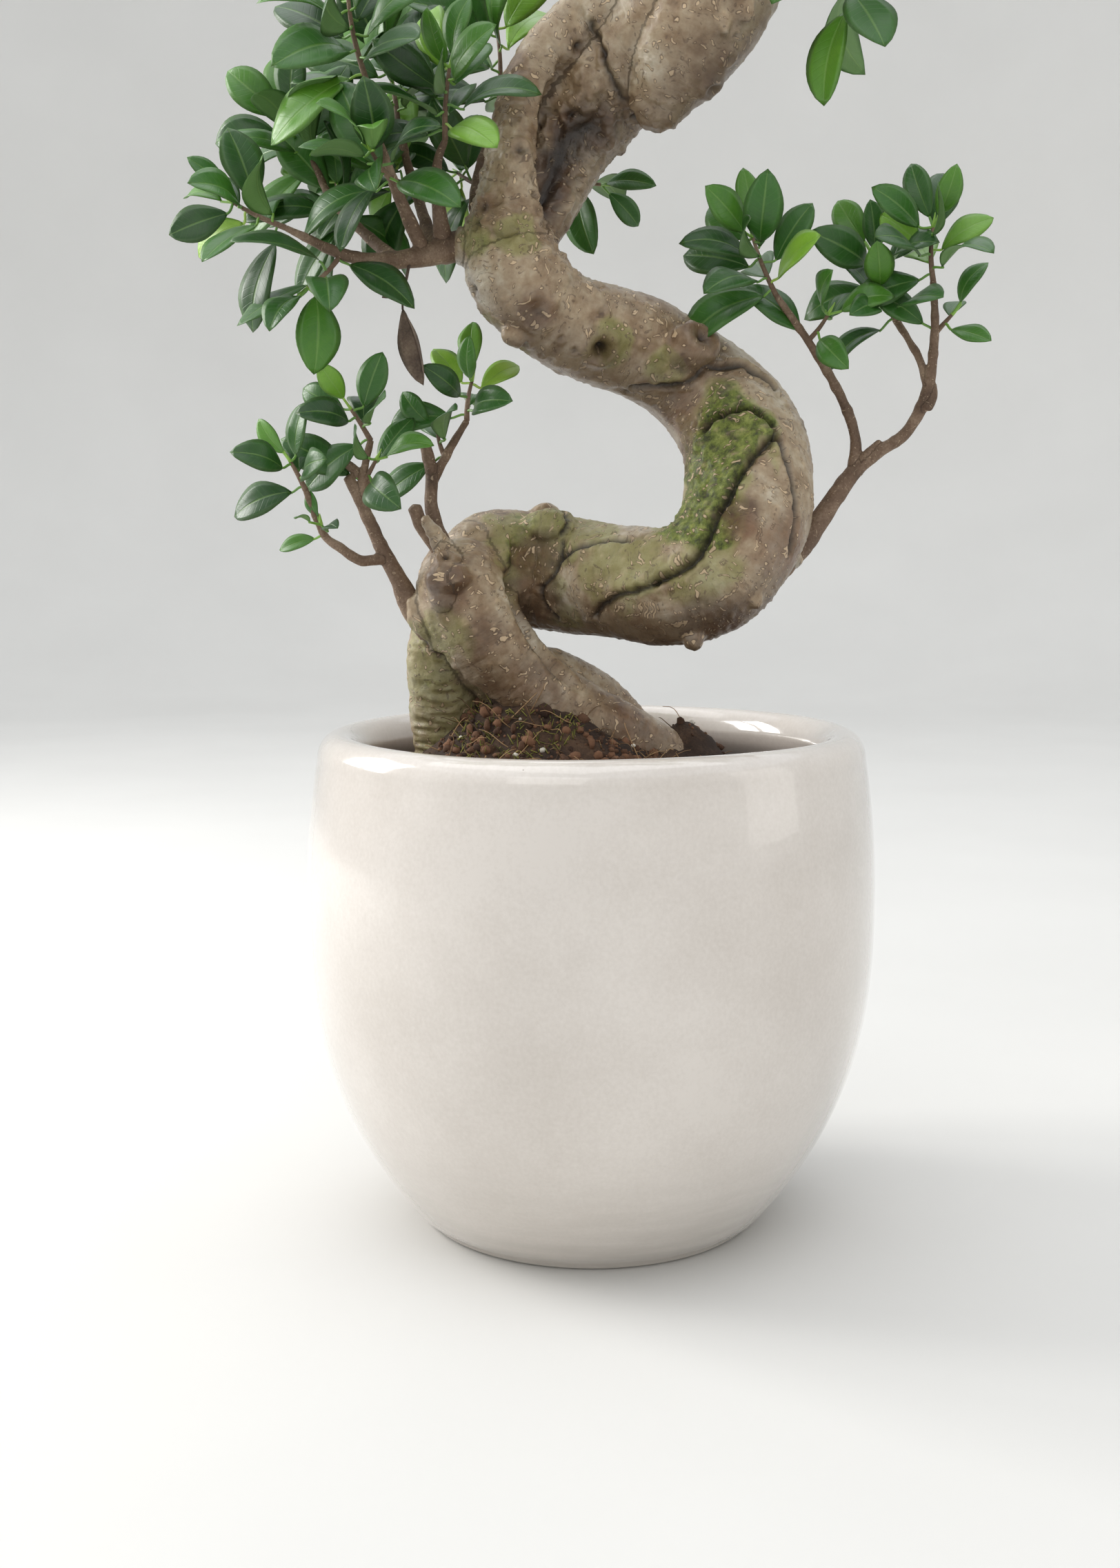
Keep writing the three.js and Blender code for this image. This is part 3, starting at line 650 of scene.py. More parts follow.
def glaze_finish():
    finish, recipe, surface = new_finish("white glaze", coat_weight=1.0, coat_roughness=0.03)
    place = recipe.place()
    height = recipe.add("SeparateXYZ", {0: place}).outputs[2]
    blotch = place_group(recipe, mottle, {"Place": place, "Blotches": 9.0, "Speckle": 500.0})
    body = recipe.ramp(
        blotch["Value"], (0.38, shade(209, 201, 193)), (0.62, shade(223, 216, 209)),
    )
    foot = recipe.between(height, 0.0, 0.085, 1.0, 0.0)
    streaks = recipe.noise(recipe.stretched(place, (1.0, 1.0, 9.0)), 14.0, 4.0, 0.6)
    foot = recipe.times(foot, recipe.between(streaks, 0.3, 0.7, 0.35, 0.9))
    colour = recipe.blend(foot, body, shade(196, 189, 181))
    pinholes = recipe.add("TexVoronoi", {"Vector": place, "Scale": 95.0})
    pin = recipe.maths(
        "MULTIPLY",
        recipe.between(pinholes.outputs["Distance"], 0.03, 0.055, 1.0, 0.0),
        recipe.maths("LESS_THAN", pinholes.outputs["Color"], 0.13),
    )
    colour = recipe.blend(recipe.times(pin, 0.6), colour, shade(120, 100, 84))
    recipe.feed(surface["Base Color"], colour)
    rough = recipe.between(blotch["Value"], 0.3, 0.7, 0.1, 0.2)
    recipe.feed(surface["Roughness"], rough)
    rings = recipe.noise(recipe.stretched(place, (0.6, 0.6, 8.0)), 11.0, 2.0, 0.4)
    ripple = recipe.plus(rings, recipe.times(pin, -0.6))
    raise_bump(recipe, surface, ripple, 0.25, 0.0012)
    return finish


def soil_finish():
    finish, recipe, surface = new_finish("potting soil", roughness=0.95)
    place = recipe.place()
    grain = place_group(recipe, mottle, {"Place": place, "Blotches": 60.0, "Speckle": 900.0})
    colour = recipe.ramp(
        grain["Value"], (0.3, shade(28, 20, 16)), (0.5, shade(56, 41, 31)), (0.72, shade(98, 74, 55)),
    )
    recipe.feed(surface["Base Color"], colour)
    raise_bump(recipe, surface, grain["Value"], 0.9, 0.0015)
    return finish


def tinted_finish(name, fold_shade, light, blotches, roughness):
    """A plain matt finish between two colours, for crumbs, fibres, grit and moss."""
    finish, recipe, surface = new_finish(name, roughness=roughness)
    place = recipe.place()
    grain = place_group(recipe, mottle, {"Place": place, "Blotches": blotches, "Speckle": 1200.0})
    piece_tone = recipe.mark("tone")
    value = recipe.plus(recipe.times(grain["Value"], 0.6), recipe.times(piece_tone, 0.5))
    recipe.feed(surface["Base Color"], recipe.ramp(value, (0.25, fold_shade), (0.75, light)))
    raise_bump(recipe, surface, grain["Fine"], 0.7, 0.0006)
    return finish


def bark_finish():
    finish, recipe, surface = new_finish("trunk bark", coat_weight=0.22, coat_roughness=0.34)
    place = recipe.mark("straight", "Vector")
    here = recipe.place()
    moss, crease_shade, scar_and_shade, cork, shaded = (
        recipe.mark(name) for name in ("moss", "crease_shade", "scar_and_shade", "cork", "shaded")
    )
    grain = place_group(recipe, bark_grain, {"Place": place, "Dashes": 200.0, "Share": 0.5, "Rings": 0.4})
    blotch = place_group(recipe, mottle, {"Place": here, "Blotches": 24.0, "Speckle": 160.0})
    colour = recipe.ramp(
        blotch["Value"], (0.32, shade(96, 72, 50)), (0.43, shade(136, 112, 84)),
        (0.53, shade(166, 147, 120)), (0.66, shade(200, 189, 168)),
    )
    algae_noise = recipe.noise(here, 34.0, 5.0, 0.65)
    growth = recipe.plus(algae_noise, moss)
    film = recipe.times(recipe.between(growth, 0.62, 0.98), 0.55)
    colour = recipe.blend(film, colour, shade(146, 148, 82))
    algae = recipe.between(growth, 0.98, 1.3)
    colour = recipe.blend(algae, colour, recipe.ramp(
        recipe.noise(here, 210.0, 6.0, 0.7), (0.36, shade(52, 56, 18)), (0.5, shade(104, 116, 40)),
        (0.7, shade(160, 166, 84)),
    ))
    # bare, dry bark and knot scars, and painted shade and cast shadow in the hollows, in dark brown
    colour = recipe.blend(recipe.times(scar_and_shade, 0.85), colour, recipe.ramp(
        algae_noise, (0.35, shade(52, 36, 26)), (0.6, shade(118, 82, 56)),
    ))
    flat_dash, raised_dash = recipe.times(grain["Dash"], 0.9), recipe.times(cork, 0.6)
    dashes = recipe.maths("MAXIMUM", flat_dash, raised_dash)
    colour = recipe.blend(recipe.times(grain["Rim"], 0.6), colour, shade(80, 58, 42))
    colour = recipe.blend(dashes, colour, shade(206, 180, 146))
    fine_dark = recipe.between(grain["Height"], 0.35, 0.6, 0.35, 0.0)
    colour = recipe.blend(fine_dark, colour, shade(70, 56, 44))
    # painted shade on the bark's undersides
    colour = recipe.blend(recipe.times(shaded, 0.7), colour, shade(58, 44, 34))
    # painted shade: near-black along the middle of the folds and in the knot hollows
    colour = recipe.blend(recipe.times(crease_shade, 0.92), colour, shade(30, 22, 16))
    recipe.feed(surface["Base Color"], colour)
    rough = recipe.between(blotch["Value"], 0.3, 0.7, 0.5, 0.34)
    rough = recipe.maths("ADD", rough, recipe.times(moss, 0.35), clamp=True)
    recipe.feed(surface["Roughness"], rough)
    rubble = recipe.noise(here, 260.0, 6.0, 0.7)
    height = recipe.plus(grain["Height"], recipe.times(recipe.times(rubble, moss), 1.6))
    raise_bump(recipe, surface, height, 0.8, 0.0016)
    return finish


def twig_finish():
    finish, recipe, surface = new_finish("branch bark")
    place = recipe.mark("straight", "Vector")
    here = recipe.place()
    grain = place_group(recipe, bark_grain, {"Place": place, "Dashes": 420.0, "Share": 0.35, "Rings": 0.8})
    blotch = place_group(recipe, mottle, {"Place": here, "Blotches": 60.0, "Speckle": 900.0})
    colour = recipe.ramp(
        blotch["Value"], (0.3, shade(72, 54, 42)), (0.5, shade(110, 88, 70)), (0.72, shade(154, 132, 110)),
    )
    colour = recipe.blend(recipe.times(grain["Dash"], 0.7), colour, shade(178, 156, 130))
    recipe.feed(surface["Base Color"], colour)
    recipe.feed(surface["Roughness"], recipe.between(blotch["Value"], 0.3, 0.7, 0.75, 0.6))
    raise_bump(recipe, surface, grain["Height"], 0.8, 0.0008)
    return finish


def leaf_finish():
    finish, recipe, surface = new_finish("ficus leaf", coat_weight=0.12, coat_roughness=0.2)
    across, along, youth, under = (
        recipe.mark(name) for name in ("across", "along", "youth", "under")
    )
    here = recipe.place()
    veins = place_group(recipe, leaf_veins, {"Across": across, "Along": along, "Veins": 11.0})
    blotch = place_group(recipe, mottle, {"Place": here, "Blotches": 55.0, "Speckle": 700.0})
    unevenness = recipe.times(recipe.maths("SUBTRACT", blotch["Value"], 0.5), 0.35)
    shift = recipe.plus(youth, unevenness)
    top = recipe.ramp(
        shift, (0.0, shade(28, 68, 20)), (0.25, shade(50, 102, 28)), (0.5, shade(86, 138, 38)),
        (0.8, shade(128, 176, 54)), (1.0, shade(168, 200, 84)),
    )
    below = recipe.blend(0.55, top, shade(132, 164, 104))
    colour = recipe.blend(recipe.times(under, 0.85), top, below)
    colour = recipe.blend(recipe.times(veins["Midrib"], 0.3), colour, shade(140, 176, 96))
    colour = recipe.blend(recipe.times(veins["Vein"], 0.05), colour, shade(120, 160, 84))
    recipe.feed(surface["Base Color"], colour)
    rough = recipe.between(blotch["Value"], 0.3, 0.7, 0.32, 0.46)
    rough = recipe.plus(rough, recipe.times(under, 0.25))
    recipe.feed(surface["Roughness"], rough)
    raise_bump(recipe, surface, veins["Height"], 0.5, 0.0005)
    return finish


def dead_leaf_finish():
    finish, recipe, surface = new_finish("withered leaf", roughness=0.8)
    across, along = (recipe.mark(name) for name in ("across", "along"))
    here = recipe.place()
    veins = place_group(recipe, leaf_veins, {"Across": across, "Along": along, "Veins": 9.0})
    blotch = place_group(recipe, mottle, {"Place": here, "Blotches": 90.0, "Speckle": 900.0})
    colour = recipe.ramp(
        blotch["Value"], (0.3, shade(62, 50, 44)), (0.5, shade(100, 84, 72)), (0.7, shade(138, 120, 102)),
    )
    colour = recipe.blend(recipe.times(veins["Midrib"], 0.6), colour, shade(66, 50, 42))
    recipe.feed(surface["Base Color"], colour)
    raise_bump(recipe, surface, recipe.plus(veins["Height"], blotch["Value"]), 0.7, 0.0008)
    return finish


GLAZE = glaze_finish()
SOIL = soil_finish()
CRUMB = tinted_finish("soil crumbs", shade(36, 24, 18), shade(126, 90, 66), 90.0, 0.95)
FIBRE = tinted_finish("root fibres", shade(70, 48, 34), shade(176, 142, 102), 120.0, 0.85)
GRIT = tinted_finish("pale grit", shade(150, 138, 122), shade(226, 220, 208), 160.0, 0.9)
MOSS = tinted_finish("soil moss", shade(58, 60, 24), shade(146, 142, 70), 90.0, 0.9)
BARK = bark_finish()
TWIG = twig_finish()
LEAF = leaf_finish()
DEAD_LEAF = dead_leaf_finish()


def own(piece, slot, *nodes):
    """The piece rides on the one body and stands for these CAD nodes; slot is not used."""
    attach(piece, "root")
    if nodes:
        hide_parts(*nodes)
    return piece


# ---------------------------------------------------------------- pot


def wall_radius(height):
    if height < BELLY_HEIGHT:
        return FOOT_RADIUS + (POT_RADIUS - FOOT_RADIUS) * (1 - (1 - height / BELLY_HEIGHT) ** 2.55)
    rise = (height - BELLY_HEIGHT) / (POT_HEIGHT - BELLY_HEIGHT)
    return POT_RADIUS - SHOULDER_INSET * rise * rise


LIP_LEVEL = POT_HEIGHT - LIP_DROP
LIP_CENTRE = wall_radius(LIP_LEVEL) - LIP_WIDTH / 2
MOUTH_RADIUS = LIP_CENTRE - LIP_WIDTH / 2


def inner_radius(height):
    ease = float(smoothstep(LIP_LEVEL - LIP_RETURN, LIP_LEVEL, height))
    return (wall_radius(height) - WALL) * (1 - ease) + MOUTH_RADIUS * ease


def pot_profile():
    """The pot's section from the middle of its floor, up the inside, over the lip and down the outside."""
    profile = [(0, FLOOR_THICKNESS), (30 * MM, FLOOR_THICKNESS), (55 * MM, FLOOR_THICKNESS)]
    for height in np.linspace(FLOOR_THICKNESS, LIP_LEVEL, INNER_STEPS):
        profile.append((inner_radius(height), height))
    for step in range(LIP_STEPS - 1, 0, -1):
        turn = math.pi * step / LIP_STEPS
        across, up = math.cos(turn) * LIP_WIDTH / 2, math.sin(turn) * LIP_DROP
        profile.append((LIP_CENTRE + across, LIP_LEVEL + up))
    for height in np.linspace(LIP_LEVEL, FOOT_BEVEL, OUTER_STEPS)[:-1]:
        profile.append((wall_radius(height), height))
    for step in range(BEVEL_STEPS, -1, -1):
        turn = math.pi / 2 * step / BEVEL_STEPS
        across, up = math.sin(turn) * FOOT_BEVEL, (1 - math.cos(turn)) * FOOT_BEVEL
        profile.append((FOOT_RADIUS - FOOT_BEVEL + across, up))
    return [*profile, (60 * MM, 0), (30 * MM, 0), (0, 0)]


def hand_thrown(points):
    """The slight unevenness of a pot that isn't quite round, nor level at the rim."""
    turn = np.arctan2(points[:, 1], points[:, 0])
    high = smoothstep(0.03, POT_HEIGHT, points[:, 2])
    wobble = 0.35 * np.sin(2 * turn + 0.7) + 0.25 * np.sin(3 * turn + 2.1) + 0.12 * np.sin(7 * turn)
    away = unit(points * (1, 1, 0))
    points = points + away * (wobble * high * MM)[:, None]
    rim = smoothstep(0.2, POT_HEIGHT, points[:, 2])
    points[:, 2] += 0.5 * MM * rim * (np.sin(turn + 1.2) + 0.5 * np.sin(4 * turn) - 1.5)
    return points


def drill_drains(pot):
    drills = Sheaf()
    for hole in range(DRAIN_COUNT):
        turn = 2 * math.pi * hole / DRAIN_COUNT
        x, y = math.cos(turn) * DRAIN_RING, math.sin(turn) * DRAIN_RING
        line = np.array([(x, y, height, DRAIN_RADIUS) for height in (-10 * MM, 5 * MM, 30 * MM)])
        drills.add(*tube(line, 24))
    drill = drills.piece("drain_drills")
    cut = pot.modifiers.new("drain holes", "BOOLEAN")
    cut.object = drill
    cut.solver = "EXACT"
    settle(pot)
    bpy.data.objects.remove(drill)


def make_pot():
    points, faces = turned(pot_profile(), POT_SIDES)
    shell = Sheaf()
    shell.add(hand_thrown(points), faces)
    pot = shell.piece("glazed_pot", GLAZE)
    drill_drains(pot)
    return own(pot, "pot_glaze", "pot")


# ---------------------------------------------------------------- trunk

# A place on the bark is given by a strand of the trunk, a station counted along its route, and
# degrees round it from the front, to the left of the way that the strand runs.

# Lumps of wood: [strand, station, turn, three radii].
BULGES = [
    ("front_leg", 7, 10, 12, 9, 9), ("serpent", 2.4, 50, 15, 12, 10), ("serpent", 2.7, 65, 6, 6, 5),
    ("serpent", 2.1, 95, 8, 8, 6), ("serpent", 5.4, -62, 6, 6, 7), ("serpent", 6.1, -50, 4, 4, 4.5),
    ("serpent", 14.6, 62, 7, 6, 6), ("left_band", 0.9, 5, 8, 5, 8), ("belly", 3.4, -40, 5, 3, 9),
    ("belly", 2.9, -28, 4, 3, 7), ("serpent", 11.4, -22, 13, 9, 11),
]

# Folds in the bark: [depth, width, step down on the right of the fold, how far that reaches,
# strand, stations with their turns]. A fold of negative depth is a ridge. Each fold's middle is
# painted dark as painted shade, the more so the deeper it is.
CREASES = [
    (1.5, 2.4, 7, 15, "front_leg", [(4.7, -45), (5.5, -55), (6.2, -62), (7, -66), (7.8, -72)]),
    (2, 2.2, 3, 14, "front_leg", [(6.6, 88), (6, 72), (5.5, 58), (5, 50)]),
    (2.2, 1.6, 1, 9, "serpent", [(2.7, 62), (3.1, 38), (3.3, 18)]),
    (2.6, 1.8, 1, 9, "serpent", [(4.5, 48), (4, 42), (3.6, 32), (3.2, 12), (2.7, -14)]),
    (2, 1.5, 1, 8, "serpent", [(2.7, -14), (2.8, -32), (3, -46)]),
    (4, 2.4, -2.5, 16, "serpent", [
        (9.3, 32), (9.3, 12), (9.1, -10), (8.7, -20), (8.4, -22), (8, 0), (7.4, 18), (6.7, 32),
        (6, 26), (5.5, 16), (5.1, 8),
    ]),
    (2.8, 2, -1.5, 12, "serpent", [(5.1, 8), (4.5, -12), (4, -38)]),
    (2.6, 2, 0, 10, "serpent", [(8.4, -22), (8, -28), (7.6, -33), (7.1, -42), (6.8, -52)]),
    (3, 2, 1.5, 12, "serpent", [
        (12, 52), (11.5, 32), (11, 10), (10.7, -10), (10.4, -28), (10.1, -48), (9.8, -54), (9.4, -60),
    ]),
    (-2, 4, 0, 8, "serpent", [(13.3, 2), (12.5, 0), (12, 0), (11.5, 8), (11, 12)]),
    (2, 2.2, 5, 18, "left_band", [(0.2, -80), (1, -78), (2, -76), (3, -76), (4, -74), (5, -50)]),
    # a wide fold whose painted shade darkens the recess beside the left band
    (6, 13, 0, 12, "serpent", [(17.5, -22), (18.3, -12), (19.2, -8), (20, -25)]),
    (-1.8, 3, 0, 8, "left_band", [(1.1, 32), (0.6, 5), (0.2, -20), (0, -45)]),
    (3, 2, 3.5, 15, "serpent", [(21.9, 38), (21.7, 15), (21.5, -5), (21.3, -35), (21.2, -65)]),
]

# Where shoots broke off: [strand, station, turn, radius, height of the lip, depth of the hollow].
KNOTS = [
    ("serpent", 14.7, 14, 9, 2.4, 1), ("serpent", 13.2, 20, 8, 3.4, 7), ("serpent", 11.3, -28, 9, 2.8, 5),
    ("serpent", 12, 66, 3.5, 0.5, 2.5), ("left_band", 3, -18, 5, 1.2, 2),
    ("left_band", 1.6, 38, 6.5, 0.8, 2.2), ("left_band", 1.1, 36, 6, 0.8, 2.2),
    ("serpent", 20.2, 0, 7, 1.6, 3.5), ("serpent", 21.4, 30, 5, 1.4, 3),
    ("serpent", 21.7, 10, 5, 1.4, 3), ("callus", 2, 0, 4, 1.2, 3.5), ("serpent", 15.6, 68, 6, 0.6, 2),
    ("serpent", 8.8, -80, 6, 0.6, 1.6), ("belly", 1.6, -70, 6, 2, 1), ("serpent", 22.6, 55, 7, 1.8, 1.6),
    ("serpent", 19.3, 150, 8, 2, 2), ("serpent", 9, 170, 9, 2.4, 3), ("serpent", 24.5, 160, 9, 2, 2),
]

# Where moss and algae grow: [strand, station, turn, radius, strength].
MOSS_PATCHES = [
    ("serpent", 8.8, 12, 22, 1), ("serpent", 8, 35, 26, 1), ("serpent", 6.6, 45, 22, 1),
    ("serpent", 6.6, 68, 20, 0.9), ("serpent", 8.4, 55, 20, 0.9), ("serpent", 9.7, -5, 12, 0.7),
    ("serpent", 2.2, 30, 25, 0.6), ("serpent", 2, -12, 18, 0.5), ("left_leg", 4, 30, 25, 0.45),
    ("left_leg", 3.4, 80, 14, 0.45), ("front_leg", 6.3, 40, 18, 0.5), ("serpent", 13, 10, 14, 0.5),
    ("serpent", 11.6, 12, 12, 0.5), ("serpent", 3.9, 60, 12, 0.4), ("serpent", 3.3, -42, 12, 0.4),
    ("serpent", 4.6, -18, 12, 0.35), ("left_band", 0.4, -15, 12, 0.5), ("left_band", 0.5, 45, 12, 0.5),
    ("serpent", 4.5, 15, 26, 0.4), ("serpent", 5.8, 5, 20, 0.4), ("left_leg", 3, 10, 32, 0.36),
    ("serpent", 1.2, 40, 20, 0.45), ("serpent", 3, 60, 22, 0.45), ("serpent", 8, 150, 20, 0.6),
    ("serpent", 3, 165, 22, 0.5), ("back_root", 2, 90, 16, 0.5),
]

# Where the bark is bare or dry, and where shade is painted dark brown: in the recess of the upper bend, in
# the gap behind the knuckle and as a cast shadow across the diagonal: [strand, station, turn, radius,
# strength].
SCARS_AND_SHADE = [
    ("serpent", 6.8, 8, 12, 0.9), ("serpent", 11.1, -22, 20, 0.5), ("serpent", 10.7, 25, 12, 0.7),
    ("serpent", 10, 45, 12, 0.8), ("serpent", 9.3, 62, 12, 0.8), ("serpent", 19.5, 0, 12, 1),
    ("serpent", 18.5, -10, 12, 1), ("serpent", 18, -15, 11, 0.9), ("front_leg", 6.6, 20, 13, 0.6),
    ("front_leg", 6, -10, 13, 0.6), ("callus", 1, 0, 14, 0.9), ("serpent", 1.8, -5, 11, 0.9),
    ("serpent", 1.7, -20, 11, 0.9), ("serpent", 2, 12, 15, 0.9), ("serpent", 1.9, -28, 17, 1),
    ("front_leg", 3.2, 0, 26, 0.75), ("front_leg", 4.8, 10, 24, 0.65),
    ("serpent", 5.6, -45, 20, 0.7), ("serpent", 6.8, -40, 22, 0.7), ("serpent", 17.6, -25, 12, 1),
    ("serpent", 20.2, -30, 14, 0.8), ("left_leg", 4.2, -70, 18, 0.8), ("belly", 2, -70, 14, 0.6),
]

# Where the bark is wrinkled across the stem: [strand, station, turn, radius, height of the folds].
WRINKLES = [
    ("left_leg", 2.6, 0, 34, 2), ("left_leg", 3.8, 20, 26, 1.6), ("callus", 1, 0, 15, 2.2),
    ("cut_stub", 1, 0, 12, 1.6), ("left_leg", 2.6, 180, 34, 1.8), ("front_leg", 7.4, -20, 14, 1),
]

SMALL_SCARS = 70  # bumpy leaf scars scattered over the upper stem
SMALL_SCAR_SEED = 70
CORK_COUNT = 2400  # raised dashes on the bark
CORK_SEED = 17


def on_stem(strand, station, turn):
    """The place and the outward direction of a station and turn on a strand's own surface."""
    line = smooth_line(TRUNK_ROUTES[strand])
    row = min(round(station * SPAN_STEPS), len(line) - 2)
    ahead = unit(line[row + 1, :3] - line[max(row - 1, 0), :3])
    front = unit(np.array((0, -1, 0)) + ahead * ahead[1])
    turn = math.radians(turn)
    outward = front * math.cos(turn) + np.cross(front, ahead) * math.sin(turn)
    return line[row, :3] + outward * line[row, 3], outward


def on_bark(skin, strand, station, turn):
    """The nearest place to a station and turn on the fused wood."""
    place, outward = on_stem(strand, station, turn)
    return np.array(skin.find_nearest(Vector(place + outward * 4 * MM))[0])


def distance_from(place, radius, points, skin):
    """How far the points lie from a place on the bark, in shares of a radius in millimetres."""
    return np.linalg.norm(points - on_bark(skin, *place), axis=1) / (radius * MM)


def raise_wrinkles(points, skin, push):
    folds = np.abs(lumps(points * (0.3, 0.3, 1), 4 * MM, 15))
    for *place, radius, rise in WRINKLES:
        away = distance_from(place, radius, points, skin)
        push += rise * (0.5 - folds) * smoothstep(1.2, 0.5, away)


def press_creases(points, outward, skin, push, crease_shade):
    """Presses the folds into the bark, each with a raised edge and a step down on its right, and paints
    shade along its middle.
    """
    ragged = lumps(points, 3 * MM, 14)
    for depth, width, step, reach, strand, stations in CREASES:
        route = np.linspace(0, len(stations) - 1, 8 * len(stations))
        turns = [np.interp(route, range(len(stations)), column) for column in zip(*stations)]
        line = np.array([on_bark(skin, strand, station, turn) for station, turn in zip(*turns)])
        line[1:-1] = (line[:-2] + 2 * line[1:-1] + line[2:]) / 4
        away, right = beside_line(points, outward, line, (reach + 3 * width) * MM)
        groove = away / (0.75 * width * MM * (1 + 0.5 * ragged))
        push -= depth * np.exp(-groove**2) - 0.3 * depth * np.exp(-((groove - 2.3) / 1.1) ** 2)
        fade = smoothstep(reach * MM, 0.35 * reach * MM, away)
        push -= step * smoothstep(-0.3 * MM, 2.2 * MM, right) * fade
        # painted shade along the middle of the fold, darker the deeper it is
        fold_shade = np.exp(-((groove / 1.05) ** 2)) * min(1, max(0, depth / 2))
        np.maximum(crease_shade, fold_shade, out=crease_shade)


def raise_knots(points, skin, push, crease_shade, scar_and_shade):
    """Raises a lip round each knot, and round each of the small leaf scars, hollows its middle and paints
    shade into the hollow.
    """
    chance = random.Random(SMALL_SCAR_SEED)
    small = [
        ("serpent", chance.uniform(13, 30), chance.uniform(-180, 180), chance.uniform(2, 4.5), 1.2, 0.7)
        for _ in range(SMALL_SCARS)
    ]
    rough = 1 + 0.35 * lumps(points, 4 * MM, 9)
    for *place, radius, lip, hollow in KNOTS + small:
        away = distance_from(place, radius, points, skin)
        push += lip * np.exp(-(((away - 0.85) / 0.45) ** 2)) * rough
        push -= hollow * np.exp(-((away / 0.42) ** 2))
        np.maximum(scar_and_shade, smoothstep(1.5, 0.6, away) * min(0.7, radius / 13), out=scar_and_shade)
        np.maximum(crease_shade, np.exp(-((away / 0.4) ** 2)) * min(1, hollow / 2.5), out=crease_shade)


def lay_patches(patches, inside, points, skin, mark):
    """Adds soft-edged patches to a mark, each at full strength out to about this share of its radius."""
    edge = 0.25 * lumps(points, 7 * MM, 12)
    for *place, radius, strength in patches:
        away = distance_from(place, radius, points, skin)
        np.maximum(mark, strength * smoothstep(1.2, inside, away + edge), out=mark)


def raise_cork(points, straight, push):
    """Raised corky dashes scattered over the bark, each lying across the stem."""
    chance = np.random.default_rng(CORK_SEED)
    cork = np.zeros(len(points))
    order = np.argsort(straight[:, 2])
    along = straight[order, 2]
    for centre in chance.integers(0, len(points), CORK_COUNT):
        size = chance.uniform(0.6, 1.3) * MM
        low, high = np.searchsorted(along, straight[centre, 2] + np.array([-3, 3]) * size)
        rows = order[low:high]
        offset = (straight[rows] - straight[centre]) / (size * 1.5, size * 1.5, size)
        swell = np.exp(-np.sum(offset**2, axis=1)) * chance.uniform(0.4, 1)
        push[rows] += 0.55 * swell
        cork[rows] = np.maximum(cork[rows], swell * chance.uniform(0.4, 0.9))
    return cork


def surface_tree(piece):
    faces = [tuple(face.vertices) for face in piece.data.polygons]
    return BVHTree.FromPolygons([tuple(corner) for corner in corners(piece.data)], faces)


def make_trunk():
    wood = Sheaf()
    lines = [smooth_line(stations, TRUNK_STEP) for stations in TRUNK_ROUTES.values()]
    for line in lines:
        wood.add(*tube(line, TRUNK_SIDES))
    for *place, rx, ry, rz in BULGES:
        wood.add(*ball(on_stem(*place)[0], np.array((rx, ry, rz)) * MM))
    trunk = wood.piece("trunk_wood", BARK)
    grown_together(trunk, TRUNK_GRAIN, 6)
    mesh = trunk.data
    points, outward = corners(mesh), corners(mesh, "normal")
    straight = straightened(points, lines)
    sinew = lumps(straight * (1, 1, 0.22), 13 * MM, 3)
    push = 1.1 * sinew + 1.3 * lumps(points, 42 * MM, 1) + 0.45 * lumps(points, 11 * MM, 2)
    push += 0.35 * lumps(straight * (1, 1, 3), 6 * MM, 4) + 0.2 * lumps(points, 3.6 * MM, 13)
    crease_shade, moss, scar_and_shade = (np.zeros(len(points)) for _ in range(3))
    skin = surface_tree(trunk)
    raise_wrinkles(points, skin, push)
    press_creases(points, outward, skin, push, crease_shade)
    raise_knots(points, skin, push, crease_shade, scar_and_shade)
    lay_patches(MOSS_PATCHES, 0.6, points, skin, moss)
    # bare bark, and painted shade and cast shadow in the recesses
    lay_patches(SCARS_AND_SHADE, 0.5, points, skin, scar_and_shade)
    cork = raise_cork(points, straight, push)
    push += moss * (1.1 * lumps(points, 5 * MM, 5) + 0.7 * lumps(points, 2.6 * MM, 6))
    move_corners(mesh, points + outward * (push * MM)[:, None])
    # painted shade: the bark is painted darker the more it faces down
    shaded = smoothstep(0.1, -0.85, outward[:, 2]) * 0.8
    marks = dict(straight=straight, moss=moss, crease_shade=crease_shade, scar_and_shade=scar_and_shade, cork=cork, shaded=shaded)
    for name, values in marks.items():
        write_mark(mesh, name, values)
    return own(trunk, "trunk_bark", "trunk")


# ---------------------------------------------------------------- branches

# Broken or cut side shoots: [branch, stations].
STUBS = [
    ("right_branch", [(138, 6, 146, 3.4), (143, 4, 155, 2.8), (149, 2, 162, 1.2)]),
    ("right_branch", [(171, -6, 178, 3), (174, -6, 184, 2.8), (174, -7, 190, 1.6)]),
    ("low_left_branch", [(-112, -20, 140, 2.6), (-119, -22, 146, 2.6), (-124, -24, 150, 2.4)]),
    ("low_left_branch", [(-99, -14, 92, 4), (-104, -15, 98, 3), (-107, -16, 104, 2)]),
    ("low_middle_branch", [(-82, -10, 146, 3), (-84, -10, 156, 3), (-86, -10, 162, 2.6)]),
    ("low_middle_branch", [(-76, -14, 104, 4.5), (-86, -18, 118, 4), (-90, -20, 128, 3.6)]),
]


